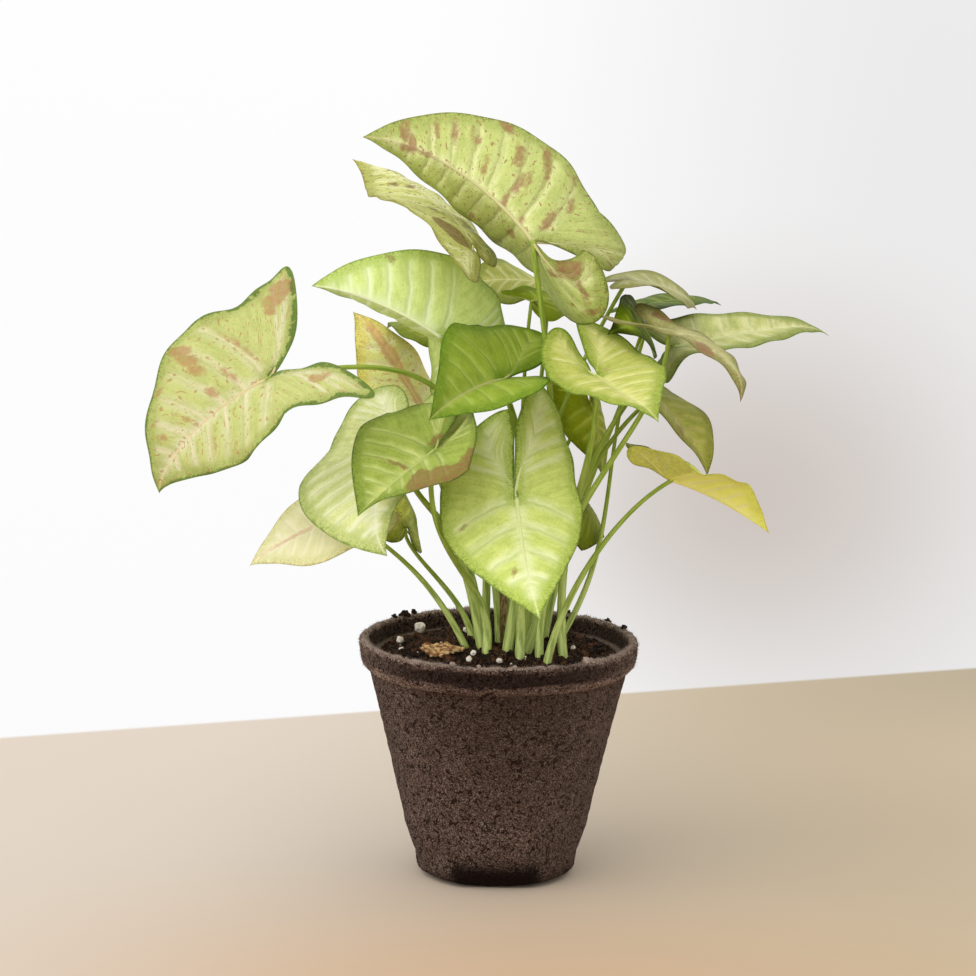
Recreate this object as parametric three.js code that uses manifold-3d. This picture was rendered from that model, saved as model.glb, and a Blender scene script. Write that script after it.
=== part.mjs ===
// Arrowhead plant in a 12 cm moulded-fibre pot. Millimetres, +Z up, origin at the centre of the pot's base.
// The plant faces -Y. Each leaf is one body: a thin arrow-shaped blade grown on its own stalk.
import * as THREE from 'three';
import { mergeVertices } from 'three/addons/utils/BufferGeometryUtils.js';
import Module from 'manifold-3d';

const wasm = await Module();
wasm.setup();

// ---- driving dimensions: pot -----------------------------------------------------------------
const GAP = 0.3;                  // clearance between pieces that touch
const POT_SIDES = 44;
const POT_HEIGHT = 104;
const RIM_RADIUS = 60;
const RIM_INNER_RADIUS = 55.7;
const COLLAR_FOOT_Z = 89.8;       // where the flared collar meets the straight wall
const COLLAR_FOOT_RADIUS = 55.4;
const WALL_FOOT_Z = 30;
const WALL_FOOT_RADIUS = 40.8;
const CREASE_Z = 10.4;            // crease between the rounded corner and the foot
const CREASE_RADIUS = 35;
const FOOT_RADIUS = 34;
const WALL = 3.4;
const FLOOR = 5;
const FLOOR_RADIUS = 25;
const LEDGE_Z = 95.5;             // step inside, below the rim
const LEDGE_RADIUS = 52.4;
const RECESS_TOP_Y = 34.6;        // flat recess in the foot, front and back
const RECESS_TOP_Z = 10.3;
const RECESS_BASE_Y = 28.5;

// ---- driving dimensions: soil ----------------------------------------------------------------
const SOIL_SIDES = 32;
const SOIL_CENTRE_Z = 101;
const SOIL_FALL = 4.5;            // how far the mound falls over SOIL_FALL_RADIUS
const SOIL_FALL_RADIUS = 52;
const SOIL_EDGE_RADIUS = 50.5;
const STALK_DEPTH = 6;            // how far a stalk stands in the soil
const HOLE_CLEARANCE = 0.4;

// ---- driving dimensions: leaves --------------------------------------------------------------
const BLADE_THICKNESS = 0.7;
const STALK_TOP_RADIUS = 1.0;
const STALK_FLARE = 0.9;          // extra radius of a stalk at the soil
const STALK_SIDES = 5;
const STALK_STEPS = 10;
const SPINE_STEPS = 20;
const NOTCH_GAP = 0.8;            // half the slit between the two lobes
const WAIST = 0.05;               // slight narrowing above the lobes
const SMALL_LEAF = 50;            // leaves up to this length get the coarser grid

// Each leaf: joint = where the stalk meets the blade; heading, rise and roll (degrees) aim the midrib;
// pairs are [left half, right half] seen from above with the tip ahead. Folds and curls are in degrees.
const LEAVES = [
  { name: 'leaf_crown', joint: [12.1, -20.3, 278.2], heading: 144, rise: 44, roll: -13,
    length: 98, widest: 17, halfWidth: [39, 39], lobeBack: [34, 27.4], lobeOut: [7, 51.3], notch: [1.8, 1],
    foldBase: [-117, 23], foldTip: [-76, 53], foldLobe: [30, -14.8], curl: [-14, -30],
    arch: 36, droop: 10, twist: -21, sweep: -16, lobeDroop: [-98, 71],
    stalk: { foot: [9.6, -0.7], lean: [0.34, 0.23], lift: 0.44, reach: 0.12,
      under: 0.9, down: 1.5, back: 0.9, thick: 0.95 } },
  { name: 'leaf_crown_back', joint: [-13.4, 3.6, 274.0], heading: 118, rise: 33, roll: 33,
    length: 88, widest: 13, halfWidth: [42, 18], lobeBack: [33, 9], lobeOut: [22, 6], notch: [1.6, 1.6],
    foldBase: [-8, 4], foldTip: [-41, -5], foldLobe: [14, -3], curl: [11, -10],
    arch: 36, droop: -2, twist: -15, sweep: -7, lobeDroop: [21, 21],
    stalk: { foot: [0.9, 15.9], lean: [0.28, -0.07], lift: 0.48, reach: 0.44,
      under: 1.4, down: 0.5, back: -0.4, thick: 0.8 } },
  { name: 'leaf_left_high', joint: [-25.9, -14.3, 236.2], heading: -172, rise: 36, roll: -73,
    length: 65, widest: 5, halfWidth: [31, 37], lobeBack: [30, 30], lobeOut: [32, 22], notch: [1.9, 1.7],
    foldBase: [-87, -4], foldTip: [-69, 0], foldLobe: [36, -16], curl: [-25, -20],
    arch: 55, droop: 11, twist: -14, sweep: -18, lobeDroop: [20, 20],
    stalk: { foot: [0.3, 3.6], lean: [-0.04, 0.28], lift: 0.25, reach: 0.5,
      under: 0.8, down: 0.6, back: 0.7, thick: 0.85 } },
  { name: 'leaf_left_far', joint: [-98.0, -30.9, 220.3], heading: -173, rise: -27, roll: -27,
    length: 73, widest: 15, halfWidth: [33, 43], lobeBack: [37, 30], lobeOut: [42, 47], notch: [2.5, 2.1],
    foldBase: [13, 26], foldTip: [-32, 30], foldLobe: [-3, -8], curl: [-16, -14],
    arch: 45, droop: 20, twist: -14, sweep: 4, lobeDroop: [-6, -6],
    stalk: { foot: [-6.2, 15.4], lean: [0.04, 0.11], lift: 0.68, reach: 0.5,
      under: 0.3, down: 0.0, back: 0.9, thick: 0.8 } },
  { name: 'leaf_yellow_back', joint: [-32.2, 36.1, 193.0], heading: 166, rise: 59, roll: -30,
    length: 59, widest: 11, halfWidth: [30, 28], lobeBack: [26, 26], lobeOut: [16, 17], notch: [1.6, 1.6],
    foldBase: [16, -23], foldTip: [-3, 7], foldLobe: [0, 0], curl: [-10, -28],
    arch: 23, droop: 12, twist: -6, sweep: 8, lobeDroop: [10, 10],
    stalk: { foot: [-8, 22], lean: [-0.05, 0.05], lift: 0.4, reach: 0.3,
      under: 0.5, down: 0.8, back: 0.6, thick: 0.75 } },
  { name: 'leaf_back_left', joint: [-22.0, 32.3, 231.7], heading: 127, rise: 7, roll: -5,
    length: 54, widest: 6, halfWidth: [20, 21], lobeBack: [10, 10], lobeOut: [8, 9], notch: [1.6, 1.6],
    foldBase: [0, -20], foldTip: [13, 9], foldLobe: [-5, -1], curl: [-11, -23],
    arch: 23, droop: 13, twist: -2, sweep: 4, lobeDroop: [13, 13],
    stalk: { foot: [1, 24], lean: [-0.1, 0.05], lift: 0.45, reach: 0.25,
      under: 0.8, down: 1, back: 0.2, thick: 0.65 } },
  { name: 'leaf_left_near', joint: [-27.9, -50.7, 194.3], heading: -154, rise: -33, roll: -18,
    length: 43, widest: 11, halfWidth: [32, 35], lobeBack: [24, 23], lobeOut: [11, 23], notch: [1.9, 1.8],
    foldBase: [20, 16], foldTip: [32, 27], foldLobe: [27, -31], curl: [-19, -18],
    arch: 2, droop: 8, twist: 4, sweep: -5, lobeDroop: [-22, -22],
    stalk: { foot: [-5.4, -16.0], lean: [0.15, 0.57], lift: 0.36, reach: 0.48,
      under: 0.1, down: 1, back: -0.3, thick: 0.9 } },
  { name: 'leaf_left_low', joint: [-44.4, -19.2, 193.1], heading: -124, rise: -38, roll: 44,
    length: 60, widest: 16, halfWidth: [29, 45], lobeBack: [33, 34], lobeOut: [19, 21], notch: [1.6, 1.6],
    foldBase: [-41, 26], foldTip: [-2, 41], foldLobe: [-1, 5], curl: [-14, 1],
    arch: 42, droop: 20, twist: -2, sweep: -13, lobeDroop: [-20, -20],
    stalk: { foot: [-7.4, -6.8], lean: [-0.17, 0.17], lift: 0.72, reach: 0.42,
      under: 0.6, down: 1.5, back: -0.1, thick: 0.95 } },
  { name: 'leaf_left_bottom', joint: [-66.1, -11.9, 159.0], heading: 174, rise: -22, roll: -27,
    length: 48, widest: 9, halfWidth: [27, 28], lobeBack: [24, 24], lobeOut: [14, 14], notch: [1.6, 1.6],
    foldBase: [10, 6], foldTip: [1, 7], foldLobe: [1, 0], curl: [-20, -11],
    arch: 14, droop: 10, twist: -3, sweep: -4, lobeDroop: [10, 10],
    stalk: { foot: [-14.5, -5.0], lean: [-0.47, -0.04], lift: 0.51, reach: 0.24,
      under: 0.6, down: 0.9, back: 1.0, thick: 0.66 } },
  { name: 'leaf_torn', joint: [-40.8, 8.1, 149.8], heading: 150, rise: 62, roll: -6,
    length: 29, widest: 7, halfWidth: [17, 17], lobeBack: [5, 13], lobeOut: [8, 9], notch: [1.6, 1.6],
    foldBase: [6, -15], foldTip: [5, 13], foldLobe: [4, 0], curl: [-13, -18],
    arch: 16, droop: 8, twist: -4, sweep: 1, lobeDroop: [9, 9],
    stalk: { foot: [-11.7, 9.6], lean: [-0.16, 0.58], lift: 0.38, reach: 0.21,
      under: 1.0, down: 0.8, back: 0.8, thick: 0.66 } },
  { name: 'leaf_centre', joint: [-0.5, -33.5, 221.4], heading: -129, rise: 0, roll: -31,
    length: 48, widest: 5, halfWidth: [28, 31], lobeBack: [20, 42], lobeOut: [10, 17], notch: [2.2, 2.2],
    foldBase: [39, 30], foldTip: [14, 37], foldLobe: [-18, -31], curl: [-3, -27],
    arch: 22, droop: 9, twist: -12, sweep: -14, lobeDroop: [-25, -25],
    stalk: { foot: [3.6, -13.0], lean: [0.15, 0.32], lift: 0.81, reach: 0.12,
      under: 1.3, down: 0.2, back: 1.0, thick: 1 } },
  { name: 'leaf_front', joint: [6.7, -47.7, 173.9], heading: -80, rise: -55, roll: 2,
    length: 59, widest: 2, halfWidth: [31, 35], lobeBack: [54, 41], lobeOut: [19, 2], notch: [3.4, 3.2],
    foldBase: [-4, -13], foldTip: [-5, -4], foldLobe: [-21, -23], curl: [-25, -18],
    arch: -17, droop: 2, twist: 0, sweep: -7, lobeDroop: [-8, -8],
    stalk: { foot: [9, -21], lean: [0.05, 0.05], lift: 0.5, reach: 0.25,
      under: 1, down: 0.7, back: 0.1, thick: 1 } },
  { name: 'leaf_right_near', joint: [39.7, -46.9, 225.9], heading: -72, rise: -5, roll: -2,
    length: 63, widest: 5, halfWidth: [27, 22], lobeBack: [40, 35], lobeOut: [3, 8], notch: [1.7, 1.5],
    foldBase: [21, 8], foldTip: [14, 4], foldLobe: [-9, 4], curl: [-13, -24],
    arch: 1, droop: 21, twist: 5, sweep: -8, lobeDroop: [-48, -48],
    stalk: { foot: [12.0, -14.0], lean: [0.34, 0.15], lift: 0.71, reach: 0.15,
      under: 0.7, down: 1.2, back: 0.1, thick: 0.9 } },
  { name: 'leaf_right_far', joint: [74.0, 19.1, 228.4], heading: 26, rise: 9, roll: 15,
    length: 82, widest: 8, halfWidth: [26, 22], lobeBack: [7, 20], lobeOut: [17, 32], notch: [1.6, 2.0],
    foldBase: [8, 19], foldTip: [6, 0], foldLobe: [18, -2], curl: [-14, -6],
    arch: 11, droop: 34, twist: 6, sweep: -4, lobeDroop: [25, 25],
    stalk: { foot: [27.5, -15.5], lean: [-0.1, 0.19], lift: 0.48, reach: 0.25,
      under: 0.3, down: 0.6, back: 1.3, thick: 0.85 } },
  { name: 'leaf_right_blade', joint: [69.4, -20.5, 241.8], heading: -31, rise: -4, roll: -35,
    length: 57, widest: 6, halfWidth: [20, 18], lobeBack: [28, 26], lobeOut: [20, 16], notch: [1.7, 1.6],
    foldBase: [28, -24], foldTip: [-6, -28], foldLobe: [19, 0], curl: [1, -3],
    arch: 54, droop: 32, twist: 1, sweep: 6, lobeDroop: [-4, -4],
    stalk: { foot: [17.3, -20.8], lean: [-0.04, 0.05], lift: 0.43, reach: 0.26,
      under: 0.5, down: 0.8, back: -0.3, thick: 0.8 } },
  { name: 'leaf_right_top', joint: [53.1, 13.2, 258.2], heading: 38, rise: -6, roll: 18,
    length: 48, widest: 7, halfWidth: [21, 22], lobeBack: [14, 16], lobeOut: [13, 12], notch: [1.6, 1.6],
    foldBase: [-23, 16], foldTip: [20, -11], foldLobe: [-1, 8], curl: [-12, -2],
    arch: 29, droop: 15, twist: 20, sweep: -3, lobeDroop: [28, 28],
    stalk: { foot: [14.4, 12.1], lean: [-0.57, 0.68], lift: 0.16, reach: 0.5,
      under: 0.8, down: 0.7, back: 0.8, thick: 0.7 } },
  { name: 'leaf_right_top_back', joint: [64.4, 57.6, 241.6], heading: 45, rise: 5, roll: 2,
    length: 49, widest: 6, halfWidth: [20, 20], lobeBack: [14, 14], lobeOut: [11, 11], notch: [1.6, 1.6],
    foldBase: [-5, 11], foldTip: [13, 2], foldLobe: [0, 4], curl: [-17, -10],
    arch: 20, droop: 9, twist: 6, sweep: -2, lobeDroop: [9, 9],
    stalk: { foot: [20, 18], lean: [0.15, 0.1], lift: 0.4, reach: 0.25,
      under: 0.8, down: 1, back: 0.3, thick: 0.7 } },
  { name: 'leaf_right_dark', joint: [60.7, 16.8, 238.1], heading: -101, rise: 12, roll: -46,
    length: 46, widest: 2, halfWidth: [16, 16], lobeBack: [9, 9], lobeOut: [8, 7], notch: [1.6, 1.5],
    foldBase: [-13, 12], foldTip: [23, 9], foldLobe: [-3, 16], curl: [-20, -5],
    arch: 26, droop: 14, twist: 5, sweep: 2, lobeDroop: [23, 23],
    stalk: { foot: [24.1, -2.4], lean: [0.62, 0.08], lift: 0.41, reach: 0.47,
      under: 0.8, down: 1, back: 0.3, thick: 0.6 } },
  { name: 'leaf_right_low', joint: [65.7, 10.5, 208.5], heading: -23, rise: -34, roll: -4,
    length: 42, widest: 9, halfWidth: [26, 24], lobeBack: [22, 22], lobeOut: [14, 14], notch: [1.6, 1.6],
    foldBase: [1, 12], foldTip: [24, 12], foldLobe: [0, 0], curl: [-9, -9],
    arch: 34, droop: 10, twist: 7, sweep: 2, lobeDroop: [10, 10],
    stalk: { foot: [14.4, -5.2], lean: [0.17, -0.08], lift: 0.53, reach: 0.23,
      under: 0.6, down: 1.0, back: 1.0, thick: 0.75 } },
  { name: 'leaf_right_yellow', joint: [73.8, -0.3, 174.0], heading: 29, rise: -20, roll: 0,
    length: 55, widest: 10, halfWidth: [19, 24], lobeBack: [23, 31], lobeOut: [11, 9], notch: [1.4, 1.4],
    foldBase: [34, 25], foldTip: [40, 52], foldLobe: [1, 20], curl: [-10, -20],
    arch: 19, droop: -1, twist: -5, sweep: 7, lobeDroop: [-13, -2],
    stalk: { foot: [20.6, -27.7], lean: [0.19, -0.05], lift: 0.36, reach: 0.28,
      under: 0.4, down: 0.5, back: 1.2, thick: 0.75 } },
  { name: 'leaf_low_right', joint: [35.9, 13.9, 160.0], heading: 4, rise: -48, roll: 24,
    length: 18, widest: 12, halfWidth: [14, 19], lobeBack: [12, 12], lobeOut: [8, 8], notch: [1.6, 1.6],
    foldBase: [-7, -10], foldTip: [-10, -5], foldLobe: [0, 0], curl: [-24, -23],
    arch: 21, droop: 7, twist: -3, sweep: -6, lobeDroop: [10, 10],
    stalk: { foot: [27, 6], lean: [0.1, 0.0], lift: 0.4, reach: 0.3,
      under: 0.6, down: 0.8, back: 0.5, thick: 0.6 } },
  { name: 'leaf_back_top', joint: [19.5, 57.4, 249.8], heading: -177, rise: 13, roll: -15,
    length: 38, widest: 14, halfWidth: [26, 28], lobeBack: [14, 12], lobeOut: [11, 14], notch: [1.6, 1.6],
    foldBase: [18, -20], foldTip: [-3, 18], foldLobe: [0, 0], curl: [-13, -18],
    arch: 30, droop: 10, twist: -12, sweep: -3, lobeDroop: [7, 7],
    stalk: { foot: [10, 18], lean: [0, 0.1], lift: 0.45, reach: 0.25,
      under: 0.8, down: 1, back: 0.2, thick: 0.7 } },
  { name: 'leaf_back_centre', joint: [12.3, 30.1, 246.5], heading: -60, rise: 16, roll: -24,
    length: 40, widest: 9, halfWidth: [18, 11], lobeBack: [10, 8], lobeOut: [11, 10], notch: [1.6, 1.6],
    foldBase: [0, 13], foldTip: [-3, 15], foldLobe: [-5, 1], curl: [-8, -15],
    arch: 28, droop: 6, twist: -1, sweep: -2, lobeDroop: [19, 19],
    stalk: { foot: [9, 8], lean: [0, 0.1], lift: 0.45, reach: 0.25,
      under: 0.8, down: 1, back: 0.1, thick: 0.65 } },
  { name: 'leaf_back_low', joint: [38.9, 24.0, 202.2], heading: -35, rise: -70, roll: -8,
    length: 33, widest: 10, halfWidth: [19, 21], lobeBack: [18, 18], lobeOut: [12, 12], notch: [1.6, 1.6],
    foldBase: [-6, -15], foldTip: [-2, 10], foldLobe: [0, 0], curl: [-19, -24],
    arch: 14, droop: 11, twist: -6, sweep: 0, lobeDroop: [10, 10],
    stalk: { foot: [12, 27], lean: [0.1, 0.1], lift: 0.45, reach: 0.3,
      under: 0.8, down: 1, back: 0.2, thick: 0.65 } },
];

// ---- driving dimensions: what lies on and in the soil ------------------------------------------
const SHEATH = {
  foot: [3, -3], lean: [-0.05, -0.2], height: 42, width: 4.2, thickness: 0.9, depth: 5, bow: 1.2,
};
const CHIP = { centre: [-24, -17], turn: 6, rise: 14, length: 19, width: 12, thickness: 1.6 };
// perlite grains: [x, y, radius]
const PERLITE = [
  [-34.6, 36.0, 2.3], [-42.7, 10.3, 1.5], [-41.4, -6.8, 1.1], [-14.2, 23.9, 1.3],
  [-10.6, -20.8, 1.2], [-12.3, -29.4, 1.3], [0.5, -31.0, 1.2], [32.2, -3.9, 1.0],
];
const GRAIN_SEED = 7;

const rad = THREE.MathUtils.degToRad;
const clamp = THREE.MathUtils.clamp;

// ---- solids ------------------------------------------------------------------------------------
function solidOf(geometry) {
  const bare = geometry.clone();
  bare.deleteAttribute('normal');
  bare.deleteAttribute('uv');
  const merged = mergeVertices(bare, 1e-4);
  const vertProperties = new Float32Array(merged.attributes.position.array);
  const triVerts = new Uint32Array(merged.index.array);
  return new wasm.Manifold(new wasm.Mesh({ numProp: 3, vertProperties, triVerts }));
}

function geometryOf(solid) {
  const mesh = solid.getMesh();
  const geometry = new THREE.BufferGeometry();
  geometry.setAttribute('position', new THREE.BufferAttribute(new Float32Array(mesh.vertProperties), 3));
  geometry.setIndex(new THREE.BufferAttribute(new Uint32Array(mesh.triVerts), 1));
  return geometry;
}

function meshGeometry(points, triangles) {
  const geometry = new THREE.BufferGeometry();
  geometry.setAttribute('position', new THREE.Float32BufferAttribute(points.flatMap((p) => p.toArray()), 3));
  geometry.setIndex(triangles.flat());
  return geometry;
}

// A ring-by-ring loft along points, with a radius for each; the rings don't twist against each other.
function rodGeometry(path, radii, sides) {
  const points = [];
  const triangles = [];
  let across = new THREE.Vector3(1, 0, 0);
  path.forEach((centre, i) => {
    const ahead = path[Math.min(i + 1, path.length - 1)].clone().sub(path[Math.max(i - 1, 0)]).normalize();
    across = across.clone().addScaledVector(ahead, -across.dot(ahead)).normalize();
    const other = ahead.clone().cross(across);
    for (let k = 0; k < sides; k += 1) {
      const angle = (2 * Math.PI * k) / sides;
      points.push(centre.clone()
        .addScaledVector(across, radii[i] * Math.cos(angle))
        .addScaledVector(other, radii[i] * Math.sin(angle)));
    }
  });
  const rings = path.length;
  for (let i = 0; i < rings - 1; i += 1) {
    for (let k = 0; k < sides; k += 1) {
      const a = i * sides + k;
      const b = i * sides + ((k + 1) % sides);
      triangles.push([a, b, b + sides], [a, b + sides, a + sides]);
    }
  }
  for (let k = 1; k < sides - 1; k += 1) {
    const top = (rings - 1) * sides;
    triangles.push([0, k + 1, k], [top, top + k, top + k + 1]);
  }
  return meshGeometry(points, triangles);
}

// ---- pot ---------------------------------------------------------------------------------------
// outer wall from the base up, over the rounded rim, and down inside to the floor
const POT_OUTSIDE = [
  [0, 0], [FOOT_RADIUS, 0], [CREASE_RADIUS - 0.2, CREASE_Z - 1.4], [CREASE_RADIUS, CREASE_Z],
  [CREASE_RADIUS + 2, CREASE_Z + 4.6], [CREASE_RADIUS + 4.3, CREASE_Z + 11.2],
  [WALL_FOOT_RADIUS, WALL_FOOT_Z],
  [COLLAR_FOOT_RADIUS, COLLAR_FOOT_Z], [COLLAR_FOOT_RADIUS + 1, COLLAR_FOOT_Z + 1.5],
  [COLLAR_FOOT_RADIUS + 3.2, COLLAR_FOOT_Z + 2.9], [RIM_RADIUS - 0.8, COLLAR_FOOT_Z + 6],
  [RIM_RADIUS - 0.3, COLLAR_FOOT_Z + 9.5],
  [RIM_RADIUS, POT_HEIGHT - 1.8], [RIM_RADIUS - 0.6, POT_HEIGHT - 0.5], [RIM_RADIUS - 2, POT_HEIGHT],
];
const POT_INSIDE = [
  [FLOOR_RADIUS, FLOOR], [FLOOR_RADIUS + 2.5, FLOOR + 1.5], [FLOOR_RADIUS + 6.5, FLOOR + 7.5],
  [CREASE_RADIUS + 0.2, WALL_FOOT_Z - 10], [WALL_FOOT_RADIUS - WALL, WALL_FOOT_Z],
  [LEDGE_RADIUS, COLLAR_FOOT_Z], [LEDGE_RADIUS, LEDGE_Z - 0.5],
];
const POT_RIM_INSIDE = [
  [RIM_INNER_RADIUS - 0.7, LEDGE_Z], [RIM_INNER_RADIUS, POT_HEIGHT - 1.5],
  [RIM_INNER_RADIUS + 0.8, POT_HEIGHT - 0.3],
];

function turned(profile, sides) {
  const outline = profile.map(([r, z]) => new THREE.Vector2(r, z));
  return new THREE.LatheGeometry(outline, sides).rotateX(Math.PI / 2);
}

function recessBlock(front) {
  const reach = 20;
  const outline = new THREE.Shape([
    new THREE.Vector2(RECESS_BASE_Y, 0), new THREE.Vector2(RECESS_TOP_Y, RECESS_TOP_Z),
    new THREE.Vector2(RECESS_TOP_Y + reach, RECESS_TOP_Z), new THREE.Vector2(RECESS_TOP_Y + reach, -reach),
    new THREE.Vector2(RECESS_BASE_Y, -reach),
  ]);
  const block = new THREE.ExtrudeGeometry(outline, { depth: 4 * reach, bevelEnabled: false });
  block.translate(0, 0, -2 * reach);
  block.rotateX(Math.PI / 2).rotateZ(front ? -Math.PI / 2 : Math.PI / 2);
  return solidOf(block);
}

function potGeometry() {
  const profile = [...POT_OUTSIDE, ...POT_RIM_INSIDE.toReversed(), ...POT_INSIDE.toReversed(), [0, FLOOR]];
  const whole = solidOf(turned(profile, POT_SIDES));
  return geometryOf(whole.subtract(recessBlock(true)).subtract(recessBlock(false)));
}

// ---- leaves ------------------------------------------------------------------------------------
function soilHeight(x, y) {
  return SOIL_CENTRE_Z - (SOIL_FALL * (x * x + y * y)) / SOIL_FALL_RADIUS ** 2;
}

// the directions across, along and out of the blade at the joint
function aimOf(leaf) {
  const heading = rad(leaf.heading);
  const rise = rad(leaf.rise);
  const roll = rad(leaf.roll);
  const along = new THREE.Vector3(
    Math.cos(heading) * Math.cos(rise), Math.sin(heading) * Math.cos(rise), Math.sin(rise));
  const level = new THREE.Vector3(Math.sin(heading), -Math.cos(heading), 0);
  const above = level.clone().cross(along);
  return {
    along,
    across: level.clone().multiplyScalar(Math.cos(roll)).addScaledVector(above, -Math.sin(roll)),
    out: level.clone().multiplyScalar(Math.sin(roll)).addScaledVector(above, Math.cos(roll)),
  };
}

// a vector turned by an angle in the plane of two directions
function turnedBy(first, second, angle) {
  return first.clone().multiplyScalar(Math.cos(angle)).addScaledVector(second, Math.sin(angle));
}

// Stations along the midrib, forward to the tip or back under a lobe: the blade arches and twists.
function stationsOf(leaf, forward, half = 0) {
  const { along, across, out } = aimOf(leaf);
  const length = forward ? leaf.length : Math.max(...leaf.lobeBack);
  const step = (forward ? length : -length) / SPINE_STEPS;
  const stations = [{ place: new THREE.Vector3(...leaf.joint), along, across, out }];
  for (let i = 0; i < SPINE_STEPS; i += 1) {
    const s = (i + 0.5) / SPINE_STEPS;
    const droop = rad(leaf.droop) * Math.max(0, (s - 0.6) / 0.4) ** 2;
    const pitch = forward ? -rad(leaf.arch) * s - droop : rad(leaf.lobeDroop[half]) * s;
    const sweep = forward ? rad(leaf.sweep) * s : 0;
    const twist = forward ? rad(leaf.twist) * s : 0;
    const ahead = turnedBy(along, across, sweep);
    const aside = turnedBy(across, along, -sweep);
    const tangent = turnedBy(ahead, out, pitch);
    const normal = turnedBy(out, ahead, -pitch);
    const last = stations[stations.length - 1];
    stations.push({
      place: last.place.clone().addScaledVector(tangent, step),
      along: tangent,
      across: turnedBy(aside, normal, -twist),
      out: turnedBy(normal, aside, twist),
    });
  }
  return { stations, length };
}

function stationAt(run, distance) {
  const where = clamp((distance / run.length) * SPINE_STEPS, 0, SPINE_STEPS - 1e-9);
  const i = Math.floor(where);
  const mix = (key) => run.stations[i][key].clone().lerp(run.stations[i + 1][key], where - i);
  return { place: mix('place'), across: mix('across').normalize(), out: mix('out').normalize() };
}

// inner and outer edge of a half blade at a distance y ahead of the joint (behind it: the lobe)
function edgesOf(leaf, half, y) {
  const width = leaf.halfWidth[half];
  const back = leaf.lobeBack[half];
  const ahead = clamp((y - leaf.widest) / (leaf.length - leaf.widest), 0, 1);
  const waist = 1 - WAIST * Math.exp(-(((y + 0.12 * back) / (0.22 * leaf.length)) ** 2));
  if (y >= 0) return [0, width * (1 - ahead ** 1.55) ** 1.2 * waist];
  const behind = clamp(-y / back, 0, 1);
  const centre = width / 2 + (leaf.lobeOut[half] - width / 2) * behind ** leaf.notch[half];
  const reach = (width / 2) * Math.sqrt(Math.max(0, 1 - behind ** 2.6));
  const inner = Math.max(centre - reach, 0);
  const outer = inner + (centre + reach - inner) * waist;
  return [Math.min(inner + NOTCH_GAP * Math.min(1, 6 * behind), outer), outer];
}

// a point of the blade: x across from the midrib (always positive), y along it
function bladePoint(leaf, runs, half, x, y) {
  const side = half === 0 ? -1 : 1;
  const station = y >= 0 ? stationAt(runs.ahead, y) : stationAt(runs.behind[half], -y);
  const ahead = clamp(y / leaf.length, 0, 1);
  const behind = clamp(-y / leaf.lobeBack[half], 0, 1);
  const foldAhead = leaf.foldBase[half] * (1 - ahead) + leaf.foldTip[half] * ahead;
  const fold = rad(foldAhead + leaf.foldLobe[half] * behind);
  const bend = rad(leaf.curl[half] || 0.01) / leaf.halfWidth[half];
  const reach = (Math.sin(fold + bend * x) - Math.sin(fold)) / bend;
  const lift = (Math.cos(fold) - Math.cos(fold + bend * x)) / bend;
  return station.place.addScaledVector(station.across, side * reach).addScaledVector(station.out, lift);
}

// The blade's middle surface as points and triangles: rows from the joint to the tip, then each lobe.
function bladeSheet(leaf) {
  const small = leaf.length <= SMALL_LEAF;
  const rows = small ? 6 : 8;
  const lobeRows = small ? 3 : 4;
  const columns = small ? 2 : 3;
  const runs = { ahead: stationsOf(leaf, true), behind: [0, 1].map((half) => stationsOf(leaf, false, half)) };
  const points = [];
  const triangles = [];
  const add = (half, u, y) => {
    const [inner, outer] = edgesOf(leaf, half, y);
    points.push(bladePoint(leaf, runs, half, inner + (outer - inner) * u, y));
    return points.length - 1;
  };
  const quad = (a, b, c, d) => triangles.push([a, b, c], [a, c, d]);
  const ahead = [];
  for (let i = 0; i < rows; i += 1) {
    const y = (leaf.length * i) / rows;
    const row = [];
    for (let k = columns; k > 0; k -= 1) row.push(add(0, k / columns, y));
    for (let k = 0; k <= columns; k += 1) row.push(add(1, k / columns, y));
    ahead.push(row);
  }
  const tip = add(1, 0, leaf.length);
  for (let i = 0; i < rows - 1; i += 1) {
    for (let k = 0; k < 2 * columns; k += 1) {
      quad(ahead[i][k], ahead[i][k + 1], ahead[i + 1][k + 1], ahead[i + 1][k]);
    }
  }
  const lastRow = ahead[rows - 1];
  for (let k = 0; k < 2 * columns; k += 1) triangles.push([lastRow[k], lastRow[k + 1], tip]);
  for (const half of [0, 1]) {
    const order = half === 0 ? (k) => columns - k : (k) => columns + k;
    let above = Array.from({ length: columns + 1 }, (_, k) => ahead[0][order(k)]);
    for (let i = 1; i <= lobeRows; i += 1) {
      const y = -leaf.lobeBack[half] * (1 - (1 - i / lobeRows) ** 1.6);
      const last = i === lobeRows;
      const below = last ? [add(half, 1, y)] : above.map((_, k) => add(half, k / columns, y));
      for (let k = 0; k < columns; k += 1) {
        const [p, q] = half === 0 ? [k + 1, k] : [k, k + 1];
        if (last) triangles.push([below[0], above[q], above[p]]);
        else quad(below[p], below[q], above[q], above[p]);
      }
      above = below;
    }
  }
  return { points, triangles };
}

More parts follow.
